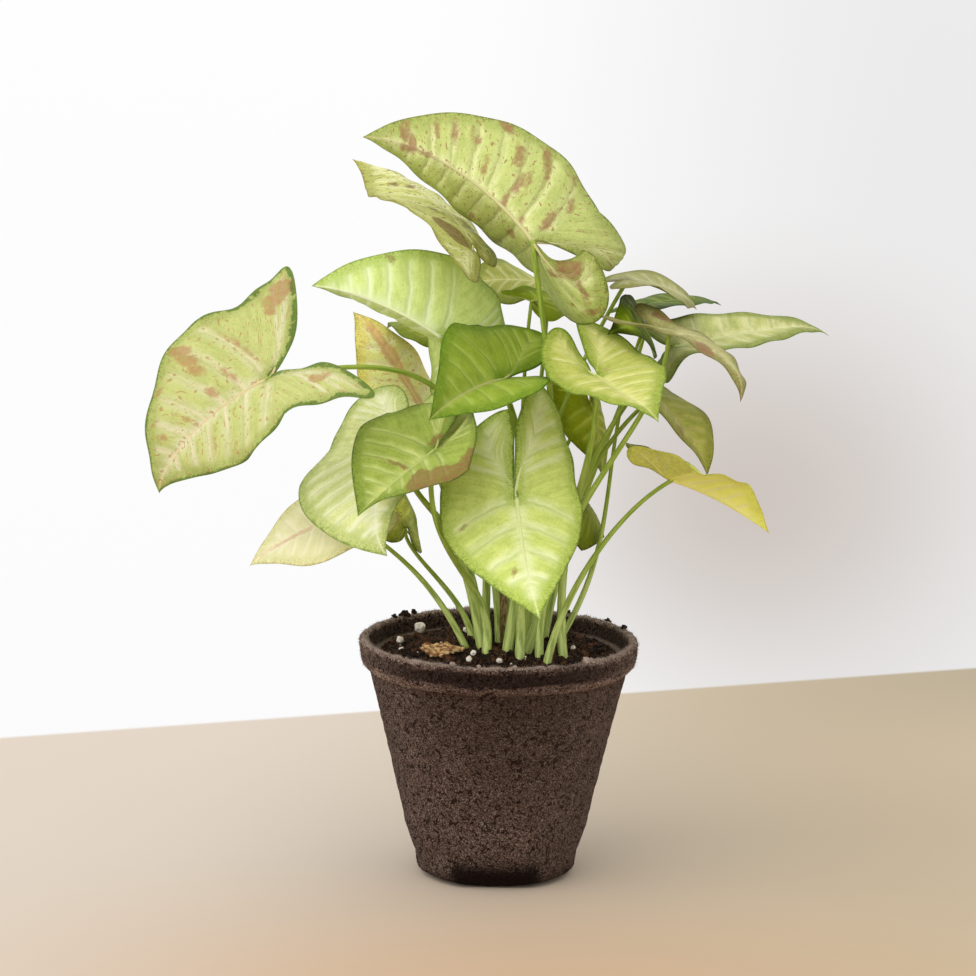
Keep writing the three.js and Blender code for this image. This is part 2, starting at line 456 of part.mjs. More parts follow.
// the sheet thickened both ways along its normals, with a wall round its edge
function sheetGeometry(sheet, thickness) {
  const { points, triangles } = sheet;
  const count = points.length;
  const normals = points.map(() => new THREE.Vector3());
  const edges = new Map();
  for (const [a, b, c] of triangles) {
    const face = points[b].clone().sub(points[a]).cross(points[c].clone().sub(points[a]));
    for (const corner of [a, b, c]) normals[corner].add(face);
    for (const [from, to] of [[a, b], [b, c], [c, a]]) {
      if (!edges.delete(`${to},${from}`)) edges.set(`${from},${to}`, [from, to]);
    }
  }
  const half = thickness / 2;
  const upper = points.map((p, i) => p.clone().addScaledVector(normals[i].normalize(), half));
  const lower = points.map((p, i) => p.clone().addScaledVector(normals[i], -half));
  const faces = [];
  for (const [a, b, c] of triangles) faces.push([a, b, c], [a + count, c + count, b + count]);
  for (const [from, to] of edges.values()) {
    faces.push([from, from + count, to + count], [from, to + count, to]);
  }
  return meshGeometry([...upper, ...lower], faces);
}

// ---- stalks ------------------------------------------------------------------------------------
function stalkCurve(leaf) {
  const { stalk } = leaf;
  const { along, out } = aimOf(leaf);
  const foot = new THREE.Vector3(stalk.foot[0], stalk.foot[1], soilHeight(...stalk.foot));
  const joint = new THREE.Vector3(...leaf.joint);
  const rise = new THREE.Vector3(stalk.lean[0], stalk.lean[1], 1).normalize();
  const arrival = new THREE.Vector3(0, 0, -stalk.down)
    .addScaledVector(out, -stalk.under).addScaledVector(along, -stalk.back).normalize();
  const span = joint.distanceTo(foot);
  const curve = new THREE.CubicBezierCurve3(
    foot, foot.clone().addScaledVector(rise, stalk.lift * span),
    joint.clone().addScaledVector(arrival, stalk.reach * span), joint);
  return { curve, rise, arrival, along };
}

function stalkRadius(leaf, t) {
  return leaf.stalk.thick * (STALK_TOP_RADIUS + STALK_FLARE * (1 - t) ** 2);
}

// the stalk stands in the soil, bends up to the joint and thins out inside the blade
function stalkGeometry(leaf) {
  const { curve, rise, along } = stalkCurve(leaf);
  const path = [curve.v0.clone().addScaledVector(rise, -STALK_DEPTH)];
  const radii = [stalkRadius(leaf, 0)];
  for (let i = 0; i <= STALK_STEPS; i += 1) {
    const t = i / (STALK_STEPS + 0.2);
    path.push(curve.getPoint(t));
    radii.push(stalkRadius(leaf, t));
  }
  path.push(curve.v3.clone().addScaledVector(along, 1.6));
  radii.push(0.3);
  return rodGeometry(path, radii, STALK_SIDES);
}

// the plain hole that the stalk stands in
function stalkHole(leaf) {
  const { curve, rise } = stalkCurve(leaf);
  const path = [-STALK_DEPTH - GAP, 0, 3 * GAP + 3].map((d) => curve.v0.clone().addScaledVector(rise, d));
  const radius = stalkRadius(leaf, 0) + HOLE_CLEARANCE;
  return solidOf(rodGeometry(path, path.map(() => radius), STALK_SIDES));
}

function leafGeometry(leaf) {
  const blade = solidOf(sheetGeometry(bladeSheet(leaf), BLADE_THICKNESS));
  return geometryOf(blade.add(solidOf(stalkGeometry(leaf))));
}

// ---- dry sheath: a brown, gutter-shaped strip left by an old leaf ------------------------------
function sheathGeometry(sheath) {
  const rise = new THREE.Vector3(sheath.lean[0], sheath.lean[1], 1).normalize();
  const foot = new THREE.Vector3(...sheath.foot, soilHeight(...sheath.foot));
  const rows = 6;
  const points = [];
  const triangles = [];
  for (let i = 0; i < rows; i += 1) {
    const t = i / (rows - 1);
    const width = sheath.width * (1 - 0.75 * t * t);
    const centre = foot.clone().addScaledVector(rise, -sheath.depth + (sheath.height + sheath.depth) * t);
    for (const u of [-0.5, 0, 0.5]) {
      const inset = sheath.bow * (1 - 4 * u * u) * (1 - 0.5 * t);
      points.push(centre.clone().add(new THREE.Vector3(width * u, inset - sheath.bow / 2, 0)));
    }
  }
  for (let i = 0; i < rows - 1; i += 1) {
    for (const k of [0, 1]) {
      const a = 3 * i + k;
      triangles.push([a, a + 1, a + 4], [a, a + 4, a + 3]);
    }
  }
  return sheetGeometry({ points, triangles }, sheath.thickness);
}

function sheathHole(sheath) {
  const rise = new THREE.Vector3(sheath.lean[0], sheath.lean[1], 1).normalize();
  const foot = new THREE.Vector3(...sheath.foot, soilHeight(...sheath.foot));
  const path = [-sheath.depth - 2 * GAP, 3].map((d) => foot.clone().addScaledVector(rise, d));
  const radius = sheath.width / 2 + 3 * GAP;
  return solidOf(rodGeometry(path, [radius, radius], 8));
}

// ---- what lies on the soil -----------------------------------------------------------------------
function roughened(geometry, roughness, seed) {
  const merged = mergeVertices(geometry.deleteAttribute('normal').deleteAttribute('uv'), 1e-4);
  const position = merged.attributes.position;
  for (let i = 0; i < position.count; i += 1) {
    const change = 1 + roughness * (2 * THREE.MathUtils.seededRandom(seed * 131 + i * 17 + 1) - 1);
    position.setXYZ(i, position.getX(i) * change, position.getY(i) * change, position.getZ(i) * change);
  }
  return merged;
}

// a perlite grain lies on the soil with its lowest point a gap above it
function grainGeometry([x, y, radius], index) {
  const grain = roughened(new THREE.IcosahedronGeometry(radius, 0), 0.16, GRAIN_SEED + index);
  grain.computeBoundingBox();
  return grain.translate(x, y, soilHeight(x, y) + GAP - grain.boundingBox.min.z);
}

// a flat flake of bark, pointed at both ends
function chipGeometry(chip) {
  const half = chip.length / 2;
  const outline = new THREE.Shape([
    new THREE.Vector2(-half, 0.1 * chip.width), new THREE.Vector2(-0.55 * half, -0.5 * chip.width),
    new THREE.Vector2(0.3 * half, -0.38 * chip.width), new THREE.Vector2(half, 0.12 * chip.width),
    new THREE.Vector2(0.35 * half, 0.42 * chip.width), new THREE.Vector2(-0.6 * half, 0.5 * chip.width),
  ]);
  const flake = new THREE.ExtrudeGeometry(outline, { depth: chip.thickness, bevelEnabled: false });
  flake.rotateX(rad(chip.rise)).rotateZ(rad(chip.turn));
  flake.translate(chip.centre[0], chip.centre[1], 0);
  const position = flake.attributes.position;
  let lift = -Infinity;
  for (let i = 0; i < position.count; i += 1) {
    lift = Math.max(lift, soilHeight(position.getX(i), position.getY(i)) - position.getZ(i));
  }
  return flake.translate(0, 0, lift + GAP);
}

// ---- soil: fills the pot to a low mound, with a hole for each stalk ------------------------------
function soilGeometry() {
  const side = POT_INSIDE.map(([r, z]) => [r - GAP, z + GAP]);
  side[side.length - 1][1] -= 2 * GAP;
  const mound = [1, 0.6, 0.25].map((share) => {
    const r = SOIL_EDGE_RADIUS * share;
    return [r, soilHeight(r, 0)];
  });
  const profile = [[0, FLOOR + GAP], ...side, ...mound, [0, SOIL_CENTRE_Z]];
  let soil = solidOf(turned(profile, SOIL_SIDES));
  for (const leaf of LEAVES) soil = soil.subtract(stalkHole(leaf));
  return geometryOf(soil.subtract(sheathHole(SHEATH)));
}

// ---- the object ----------------------------------------------------------------------------------
const finish = (color, roughness) => new THREE.MeshStandardMaterial({ color, roughness, metalness: 0 });
const FIBRE = finish(0x554a42, 0.95);
const SOIL = finish(0x2b211b, 1);
const LEAF = finish(0x93b06a, 0.5);
const DRY = finish(0x8a6a48, 0.85);
const WHITE = finish(0xd8d4cc, 0.9);

const plant = new THREE.Group();

function place(name, geometry, material) {
  const mesh = new THREE.Mesh(geometry, material);
  mesh.name = name;
  plant.add(mesh);
}

place('pot', potGeometry(), FIBRE);
place('soil', soilGeometry(), SOIL);
for (const leaf of LEAVES) place(leaf.name, leafGeometry(leaf), LEAF);
place('dry_sheath', sheathGeometry(SHEATH), DRY);
place('bark_chip', chipGeometry(CHIP), DRY);
PERLITE.forEach((grain, i) => place(`perlite_${i + 1}`, grainGeometry(grain, i), WHITE));

export default plant;
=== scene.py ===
import math
from functools import partial, reduce

import bmesh
import bpy
import numpy as np
from mathutils import Matrix, Vector, noise


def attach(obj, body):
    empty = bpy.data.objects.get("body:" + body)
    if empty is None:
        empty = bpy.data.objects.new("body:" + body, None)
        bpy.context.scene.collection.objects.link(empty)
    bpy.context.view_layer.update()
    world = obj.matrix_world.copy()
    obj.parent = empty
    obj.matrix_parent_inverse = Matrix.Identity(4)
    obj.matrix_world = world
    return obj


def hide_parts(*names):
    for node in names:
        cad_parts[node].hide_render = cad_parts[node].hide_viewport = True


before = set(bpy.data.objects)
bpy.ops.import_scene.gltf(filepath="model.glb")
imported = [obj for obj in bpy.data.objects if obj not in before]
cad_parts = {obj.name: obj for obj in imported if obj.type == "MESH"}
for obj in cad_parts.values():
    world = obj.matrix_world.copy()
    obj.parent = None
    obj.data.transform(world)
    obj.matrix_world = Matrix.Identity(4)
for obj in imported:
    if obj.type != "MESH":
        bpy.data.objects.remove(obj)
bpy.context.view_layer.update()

MM = 0.001        # the sizes below are in millimetres, the meshes in metres


# ==== Pot ===========================================================================================
# A 12 cm nursery pot of moulded plant fibre: a thick soft rim, a flared collar, a tapered wall and a
# small foot with a flat recess at the front and back. It is pressed wet in a mould, so its skin is
# felted and speckled, its rim is lumpy, and loose fibres stand up from its edges.
POT_SIDES = 320
POT_STEP = 1.5                 # length of one step along the pot's section
RIM_TOP = 104
LEDGE_RADIUS = 52.4
POT_SECTION = [                # (radius, height) from the base up, over the rim and down inside
    (0, 0), (34, 0), (34.8, 9), (35, 10.4), (37, 15), (39.3, 21.6), (40.8, 30), (55.2, 89), (55.5, 90),
    (56.5, 91.3), (58.4, 92.6), (59.1, 95), (59.6, 99), (60, 102.2), (59.4, 103.5), (58, RIM_TOP),
    (56.5, 103.7), (55.7, 102.5), (55, 95.5), (LEDGE_RADIUS, 95), (LEDGE_RADIUS, 90), (37.4, 30),
    (35.2, 20), (31.5, 12.5), (27.5, 6.5), (25, 5), (0, 5),
]
RECESS_BASE, RECESS_TOP, RECESS_HEIGHT = 28.5, 34.6, 10.3
WALL_FROM = 20                 # nearer the axis than this the base stays flat
EDGE_FROM, EDGE_HEIGHT = 94, 7  # the rim's lumps grow over this height
FUZZ_FROM, FUZZ_RADIUS, CREST_FROM = 93, 54, 102.4
FIBRE_LENGTH = 1.3


def soft_section(corners, step):
    """The section with its corners rounded, in even steps."""
    line = np.array(corners, float)
    for _ in range(2):
        near = line[:-1] * 0.75 + line[1:] * 0.25
        far = line[:-1] * 0.25 + line[1:] * 0.75
        line = np.vstack([line[:1], np.stack([near, far], 1).reshape(-1, 2), line[-1:]])
    gone = np.concatenate([[0], np.cumsum(np.linalg.norm(np.diff(line, axis=0), axis=1))])
    stops = np.linspace(0, gone[-1], round(gone[-1] / step) + 1)
    return np.stack([np.interp(stops, gone, line[:, k]) for k in (0, 1)], 1)


def turned(section, sides):
    """Points and faces of a section turned round the upright axis; both of its ends lie on the axis."""
    angles = np.linspace(0, 2 * math.pi, sides, endpoint=False)
    ring = section[1:-1]
    around = [ring[:, :1] * np.cos(angles), ring[:, :1] * np.sin(angles), ring[:, 1:] + 0 * angles]
    points = [[[0, 0, section[0, 1]]], np.stack(around, -1).reshape(-1, 3), [[0, 0, section[-1, 1]]]]
    last = 1 + len(ring) * sides
    faces = [(0, 1 + (k + 1) % sides, 1 + k) for k in range(sides)]
    for i in range(len(ring) - 1):
        low, high = 1 + i * sides, 1 + (i + 1) * sides
        faces += [(low + k, low + (k + 1) % sides, high + (k + 1) % sides, high + k) for k in range(sides)]
    top = last - sides
    faces += [(last, top + k, top + (k + 1) % sides) for k in range(sides)]
    return np.vstack(points), faces


def mesh_piece(name, points, faces, smooth=True):
    """A new object whose mesh has these points, given in millimetres."""
    mesh = bpy.data.meshes.new(name)
    mesh.from_pydata((np.asarray(points) * MM).tolist(), [], faces)
    mesh.polygons.foreach_set("use_smooth", [smooth] * len(mesh.polygons))
    mesh.update()
    piece = bpy.data.objects.new(name, mesh)
    bpy.context.scene.collection.objects.link(piece)
    return piece


def rough(point, size, offset=0.0, octaves=3):
    """Cloudy noise about zero whose lumps are of this size, at a point in millimetres."""
    place = Vector((point[0] / size + offset, point[1] / size - offset, point[2] / size))
    return noise.fractal(place, 1.0, 2.0, octaves)


def pot_shell():
    points, faces = turned(soft_section(POT_SECTION, POT_STEP), POT_SIDES)
    made = []
    for x, y, z in points:
        out = math.hypot(x, y)
        if out > WALL_FROM:
            ux, uy = x / out, y / out
            edge = max(0.0, min(1.0, (z - EDGE_FROM) / EDGE_HEIGHT))
            lump = 0.30 * rough((x, y, z), 5) + 0.16 * rough((x, y, z), 1.9, 7)
            sway = 0.55 * rough((x, y, 0), 26, 3) + edge * 0.55 * rough((x, y, z), 8, 11)
            shift = lump + sway
            x, y = x + ux * shift, y + uy * shift
            z += edge * (0.75 * rough((x, y, 0), 9, 21) + 0.5 * rough((x, y, 0), 3.1, 5))
            z = max(z, 0.0)
        reach = RECESS_BASE + (RECESS_TOP - RECESS_BASE) * min(1, z / RECESS_HEIGHT)
        if z <= RECESS_HEIGHT and abs(y) > reach:
            y = math.copysign(reach + 0.12 * rough((x, y, z), 4), y)
        made.append((x, y, z))
    return mesh_piece("pot_shell", made, faces)


def fill(node, inputs):
    """Sets a node's inputs to values, or links them to sockets."""
    for key, value in inputs.items():
        if isinstance(value, bpy.types.NodeSocket):
            node.id_data.links.new(value, node.inputs[key])
        else:
            node.inputs[key].default_value = value


def put(tree, kind, inputs=None, **settings):
    """A new node with its settings and inputs."""
    made = tree.nodes.new(kind)
    for key, value in settings.items():
        setattr(made, key, value)
    fill(made, inputs or {})
    return made


def follow(kind, inputs, **settings):
    """A new node in the tree of the first socket among its inputs."""
    tree = next(value.id_data for value in inputs.values() if isinstance(value, bpy.types.NodeSocket))
    return put(tree, kind, inputs, **settings)


def sum_up(operation, *values, clamp=False):
    made = follow("ShaderNodeMath", dict(enumerate(values)), operation=operation, use_clamp=clamp)
    return made.outputs[0]


def times(*values):
    return reduce(partial(sum_up, "MULTIPLY"), values)


def most(*values):
    return reduce(partial(sum_up, "MAXIMUM"), values)


plus = partial(sum_up, "ADD")
minus = partial(sum_up, "SUBTRACT")
over = partial(sum_up, "DIVIDE")
unsigned = partial(sum_up, "ABSOLUTE")
scaled = partial(sum_up, "MULTIPLY_ADD")     # of a value, its factor and what is added then


def ease(value, low, high, start=0.0, stop=1.0):
    """The value between low and high, eased to lie between start and stop."""
    return follow("ShaderNodeMapRange", {"Value": value, "From Min": low, "From Max": high,
                  "To Min": start, "To Max": stop}, interpolation_type="SMOOTHSTEP").outputs[0]


def blend(factor, first, second):
    return follow("ShaderNodeMix", {0: factor, 6: first, 7: second}, data_type="RGBA").outputs[2]


def split(vector):
    return follow("ShaderNodeSeparateXYZ", {0: vector}).outputs


def joined(*values):
    return follow("ShaderNodeCombineXYZ", dict(enumerate(values))).outputs[0]


def length_of(vector):
    return follow("ShaderNodeVectorMath", {0: vector}, operation="LENGTH").outputs["Value"]


def stretched(vector, scale):
    return follow("ShaderNodeMapping", {"Vector": vector, "Scale": scale}).outputs[0]


def cloudy(place, scale, detail, **more):
    """Soft noise between 0 and 1, with its scale in lumps per unit of the place."""
    inputs = {"Vector": place, "Scale": scale, "Detail": detail, **more}
    return follow("ShaderNodeTexNoise", inputs).outputs["Fac"]


def tint(code):
    """A colour for the shader from a six-digit screen colour."""
    shares = [int(code[i:i + 2], 16) / 255 for i in (0, 2, 4)]
    return (*[s / 12.92 if s <= 0.04045 else ((s + 0.055) / 1.055) ** 2.4 for s in shares], 1.0)


NUMBER, VECTOR = "NodeSocketFloat", "NodeSocketVector"


def new_group(name, inputs, outputs):
    """A shader node group: its tree, its inputs (vectors where no value is given) and its output node."""
    tree = bpy.data.node_groups.new(name, "ShaderNodeTree")
    for label, value in inputs.items():
        kind = VECTOR if value is None else NUMBER
        socket = tree.interface.new_socket(label, in_out="INPUT", socket_type=kind)
        if value is not None:
            socket.default_value = value
    for label in outputs:
        tree.interface.new_socket(label, in_out="OUTPUT", socket_type=NUMBER)
    return tree, tree.nodes.new("NodeGroupInput").outputs, tree.nodes.new("NodeGroupOutput")


def speckle_group():
    """Felted grain: soft clouds, fine light specks and dark pits. Sizes are in millimetres."""
    tree, given, result = new_group(
        "felted_grain", {"Place": None, "Speck": 0.5, "Pit": 1.2, "Cloud": 9.0}, ("Cloud", "Speck", "Pit"))

    def grain(name, detail, low, high):
        scale = over(1000.0, given[name])
        return ease(cloudy(given["Place"], scale, detail, Roughness=0.6), low, high)

    fill(result, {"Cloud": grain("Cloud", 4.0, 0.34, 0.66), "Speck": grain("Speck", 2.0, 0.38, 0.68),
                  "Pit": grain("Pit", 3.0, 0.40, 0.30)})
    return tree


SPECKLE = speckle_group()


def felted(place, speck, pit, cloud):
    inputs = {"Place": place, "Speck": speck, "Pit": pit, "Cloud": cloud}
    return follow("ShaderNodeGroup", inputs, node_tree=SPECKLE).outputs


def plain_material(name, roughness):
    """A material, its Principled BSDF, and the place on the object as a socket of its tree."""
    material = bpy.data.materials.new(name)
    material.use_nodes = True
    shader = material.node_tree.nodes["Principled BSDF"]
    shader.inputs["Roughness"].default_value = roughness
    return material, shader, put(material.node_tree, "ShaderNodeTexCoord").outputs["Object"]


def bump(shader, height, strength, distance):
    inputs = {"Height": height, "Strength": strength, "Distance": distance}
    fill(shader, {"Normal": follow("ShaderNodeBump", inputs).outputs["Normal"]})


def fibre_material():
    material, shader, place = plain_material("moulded_fibre", 0.95)
    grain = felted(place, 0.62, 1.8, 10.0)
    felt = blend(grain["Speck"], tint("5e4435"), tint("d8bcae"))
    felt = blend(times(grain["Cloud"], 0.3), felt, tint("5a443a"))

    # short dark fibres that curl through the felt: broken pieces of a noise's middle lines
    def curls(length, width, share):
        middle = unsigned(minus(cloudy(place, 1000 / length, 1.0, Distortion=0.4), 0.5))
        broken = cloudy(place, 1700 / length, 1.0)
        return times(ease(middle, width, width * 0.25), ease(broken, share, share + 0.07))

    curl = most(curls(4.4, 0.06, 0.51), curls(2.6, 0.07, 0.55))
    felt = blend(times(curl, 0.92), felt, tint("22130d"))
    felt = blend(times(grain["Pit"], 0.7), felt, tint("20120d"))
    # dark smears that ran level round the wall as the wet fibre was pressed
    smear = cloudy(stretched(place, (70, 70, 480)), 1.0, 4.0)
    across, along, height = split(place)
    upper = times(ease(height, 0.052, 0.075), ease(height, 0.0905, 0.088))
    streak = times(ease(smear, 0.55, 0.68), upper, ease(across, -0.01, 0.03, 0.15, 1.0))
    felt = blend(times(streak, 0.6), felt, tint("2a1c16"))
    # painted shade: the front is painted browner and darker than the sides; a band of painted shade fills
    # the collar, above its paler foot
    front = times(ease(along, -0.03, -0.058), ease(height, 0.03, 0.06))
    felt = blend(times(front, 0.5), felt, tint("301c14"))
    # painted light: the right side, away from the lamp, is painted lighter
    felt = blend(ease(across, 0.0, 0.05, 0.0, 0.07), felt, tint("c8b0a4"))
    # painted shade: the collar is painted dark, darkest at the front
    ragged = scaled(smear, 0.006, minus(height, 0.003))
    collar_shade = times(ease(ragged, 0.0935, 0.0965), ease(ragged, 0.1035, 0.1005))
    felt = blend(times(collar_shade, ease(along, 0.0, -0.056, 0.35, 0.85)), felt, tint("170c08"))
    # painted shade: the bottom of the pot is painted darker
    felt = blend(ease(height, 0.012, 0.0, 0.0, 0.55), felt, tint("241709"))
    # painted shadow: the recess at the foot, front and back, is painted nearly black at the bottom, with
    # soft torn edges
    torn = scaled(grain["Cloud"], 0.0016, times(grain["Speck"], 0.0016))
    aside, above = plus(unsigned(across), torn), plus(height, torn)
    recess_shadow = times(ease(aside, 0.0235, 0.018), ease(above, 0.0175, 0.008))
    felt = blend(times(recess_shadow, 0.96), felt, tint("080403"))
    # painted shade: the inside is painted darker down to its ledge; painted highlight: the ledge is painted
    # pale, and the crest of the rim is pale and fluffy, partly its own pale fibre and partly a painted
    # highlight
    out = length_of(joined(across, along))
    inside = times(ease(out, 0.0572, 0.0562), ease(height, 0.1033, 0.1015))
    felt = blend(times(inside, 0.6), felt, tint("20140f"))
    # painted highlight on the ledge's top; the crest's pale fibre is lightened further by a painted
    # highlight
    ledge_highlight = times(ease(out, 0.0556, 0.0549), ease(height, 0.0938, 0.0948), ease(height, 0.0972, 0.0958))
    crest_fluff_and_highlight = ease(scaled(grain["Speck"], 0.0009, height), 0.1030, 0.1046)
    felt = blend(times(most(times(ledge_highlight, 0.6), crest_fluff_and_highlight), 0.75), felt, tint("cdb8ac"))
    fill(shader, {"Base Color": felt, "Specular IOR Level": 0.05})
    bump(shader, minus(grain["Speck"], most(grain["Pit"], curl)), 0.9, 0.0006)
    return material


def scatter_tree(name, material):
    """Copies of one small shape strewn over a surface, turned and sized at random."""
    tree = bpy.data.node_groups.new(name, "GeometryNodeTree")
    sockets = {}
    for label, kind in (("Geometry", "NodeSocketGeometry"), ("Shape", "NodeSocketObject"),
                        ("Density", NUMBER), ("Smallest", NUMBER), ("Largest", NUMBER),
                        ("Tilt", NUMBER), ("Seed", "NodeSocketInt")):
        sockets[label] = tree.interface.new_socket(label, in_out="INPUT", socket_type=kind)
    tree.interface.new_socket("Geometry", in_out="OUTPUT", socket_type="NodeSocketGeometry")
    given = tree.nodes.new("NodeGroupInput").outputs
    result = tree.nodes.new("NodeGroupOutput")

    def chance(low, high, step):
        inputs = {2: low, 3: high, "Seed": plus(given["Seed"], step)}
        return follow("FunctionNodeRandomValue", inputs, data_type="FLOAT").outputs[1]

    share = put(tree, "GeometryNodeInputNamedAttribute", {"Name": "scatter"}, data_type="FLOAT").outputs[0]
    spread = follow("GeometryNodeDistributePointsOnFaces", {"Mesh": given["Geometry"],
                    "Density": times(share, given["Density"]), "Seed": given["Seed"]}).outputs
    shape = follow("GeometryNodeObjectInfo", {"Object": given["Shape"]}).outputs["Geometry"]
    tilt, tilt_back = given["Tilt"], times(given["Tilt"], -1.0)
    low, high = joined(tilt_back, tilt_back, -math.pi), joined(tilt, tilt, math.pi)
    lean = follow("FunctionNodeRandomValue", {0: low, 1: high, "Seed": given["Seed"]},
                  data_type="FLOAT_VECTOR").outputs[0]
    turn = follow("FunctionNodeEulerToRotation", {0: lean}).outputs[0]
    turn = follow("FunctionNodeRotateRotation", {"Rotation": spread["Rotation"], "Rotate By": turn},
                  rotation_space="LOCAL").outputs[0]
    size = chance(given["Smallest"], given["Largest"], 1.0)
    copies = follow("GeometryNodeInstanceOnPoints", {"Points": spread["Points"], "Instance": shape,
                    "Rotation": turn, "Scale": size}).outputs[0]
    copies = follow("GeometryNodeStoreNamedAttribute", {"Geometry": copies, "Name": "shade",
                    "Value": chance(0.0, 1.0, 2.0)}, data_type="FLOAT", domain="INSTANCE").outputs[0]
    whole = follow("GeometryNodeRealizeInstances", {0: copies}).outputs[0]
    dressed = follow("GeometryNodeSetMaterial", {"Geometry": whole, "Material": material}).outputs[0]
    fill(result, {0: dressed})
    return tree, {label: socket.identifier for label, socket in sockets.items()}


def strewn(name, carrier, shape, material, **values):
    """Strews the shape over the carrier where its scatter attribute says, as one plain mesh."""
    tree, keys = scatter_tree(name, material)
    modifier = carrier.modifiers.new(name, "NODES")
    modifier.node_group = tree
    modifier[keys["Shape"]] = shape
    for label, value in values.items():
        modifier[keys[label.capitalize()]] = value
    bpy.context.view_layer.update()
    ready = carrier.evaluated_get(bpy.context.evaluated_depsgraph_get())
    mesh = bpy.data.meshes.new_from_object(ready)
    carrier.modifiers.remove(modifier)
    piece = bpy.data.objects.new(name, mesh)
    mesh.name = name
    bpy.context.scene.collection.objects.link(piece)
    return piece


def mark_scatter(piece, share_of):
    """Stores how densely each point of the piece is strewn, from its place in millimetres."""
    share = piece.data.attributes.new("scatter", "FLOAT", "POINT")
    share.data.foreach_set("value", [share_of(point.co / MM) for point in piece.data.vertices])


def sliver(length, width, bow):
    """A thin bent thread that stands on its foot, three-sided and pointed."""
    steps = 4
    points = []
    for i in range(steps):
        t = i / (steps - 1)
        radius = width * (1 - 0.85 * t)
        for k in range(3):
            angle = 2 * math.pi * k / 3
            points.append((radius * math.cos(angle) + bow * t * t, radius * math.sin(angle), length * t))
    faces = [(2, 1, 0), (3 * steps - 3, 3 * steps - 2, 3 * steps - 1)]
    for i in range(0, 3 * steps - 3, 3):
        faces += [(i + k, i + (k + 1) % 3, i + 3 + (k + 1) % 3, i + 3 + k) for k in range(3)]
    return mesh_piece("thread_shape", points, faces)


def dress(piece, material, slot, node=None):
    """Gives a finished piece its material and its body, and hides the solid that it stands for; its slot is
    not used.
    """
    piece.data.materials.clear()
    piece.data.materials.append(material)
    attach(piece, "root")
    if node:
        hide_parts(node)


FIBRE = fibre_material()
pot = pot_shell()
mark_scatter(pot, lambda p: (
    1.0 if p.z > CREST_FROM else 0.25 if p.z > FUZZ_FROM and p.xy.length > FUZZ_RADIUS else 0.0))
thread = sliver(FIBRE_LENGTH, 0.1, 0.7)
fuzz = strewn("pot_fuzz", pot, thread, FIBRE, density=2.6e6, smallest=0.35, largest=1.0, tilt=1.35, seed=4)
dress(pot, FIBRE, "pot_fibre", "pot")
dress(fuzz, FIBRE, "pot_fibre")


# ==== Soil ==========================================================================================
# Dark peat that fills the pot to a low mound. It is crumbly: lumps and crumbs of peat, reddish coir
# threads and specks of white perlite lie on it. The stalks stand in it, each in its own place.
SOIL_CENTRE = 101
SOIL_FALL, SOIL_FALL_RADIUS = 4.5, 52
SOIL_SIDES = 260
SOIL_RADIUS, SOIL_RIM = 52.0, 95.6
SOIL_WALL = [(0, 5.3), (24.7, 5.3), (35, 20.3), (37.1, 30.3), (SOIL_RADIUS, 91.6), (SOIL_RADIUS, SOIL_RIM)]


def soil_height(x, y):
    return SOIL_CENTRE - SOIL_FALL * (x * x + y * y) / SOIL_FALL_RADIUS ** 2


def soil_mound():
    top = [(r, soil_height(r, 0)) for r in np.linspace(SOIL_RADIUS - 0.5, 0, 66)]
    points, faces = turned(np.array(SOIL_WALL + top), SOIL_SIDES)
    made = []
    for x, y, z in points:
        if z > SOIL_RIM + 0.2:
            middle = min(1.0, (SOIL_RADIUS - math.hypot(x, y)) / 3)
            lump = 1.5 * rough((x, y, 0), 13, 31) + 1.0 * rough((x, y, 0), 4.2, 17, 4)
            z += lump * (0.35 + 0.65 * middle) - 0.3
        made.append((x, y, z))
    return mesh_piece("soil_mound", made, faces)


def lump_shape(name, detail, roughness, seed, flat=1.0):
    """A small rough lump, one millimetre in radius."""
    made = bpy.data.meshes.new(name)
    ball = bmesh.new()
    bmesh.ops.create_icosphere(ball, subdivisions=detail, radius=1.0)
    for point in ball.verts:
        point.co *= 1 + roughness * noise.noise(point.co * 1.7 + Vector((seed, seed, seed)))
        point.co.z *= flat
        point.co *= MM
    ball.to_mesh(made)
    ball.free()
    piece = bpy.data.objects.new(name, made)
    bpy.context.scene.collection.objects.link(piece)
    return piece


def soil_material(name, dark, mid, red):
    material, shader, place = plain_material(name, 0.97)
    grain = felted(place, 0.9, 1.5, 12.0)
    shade = put(material.node_tree, "ShaderNodeAttribute", attribute_name="shade").outputs["Fac"]
    dark, mid, red = tint(dark), tint(mid), tint(red)
    earth = blend(grain["Speck"], dark, mid)
    earth = blend(times(ease(shade, 0.5, 0.1), 0.6), earth, dark)
    earth = blend(times(ease(shade, 0.55, 1.0), 0.7), earth, red)
    # the back left of the mound is redder, with coir in it
    across, along, _ = split(place)
    left = times(ease(across, -0.008, -0.03), ease(along, -0.012, 0.006))
    earth = blend(times(left, grain["Cloud"], 0.7), earth, blend(grain["Speck"], dark, red))
    fill(shader, {"Base Color": earth, "Specular IOR Level": 0.2})
    bump(shader, grain["Speck"], 0.8, 0.0005)
    return material


def perlite_material():
    material, shader, place = plain_material("perlite", 0.9)
    grain = felted(place, 0.5, 0.8, 2.0)
    chalk = blend(grain["Cloud"], tint("fbf3ea"), tint("e6d6c6"))
    fill(shader, {"Base Color": blend(times(grain["Pit"], 0.7), chalk, tint("8d7a68"))})
    bump(shader, grain["Pit"], 0.7, -0.0003)
    return material


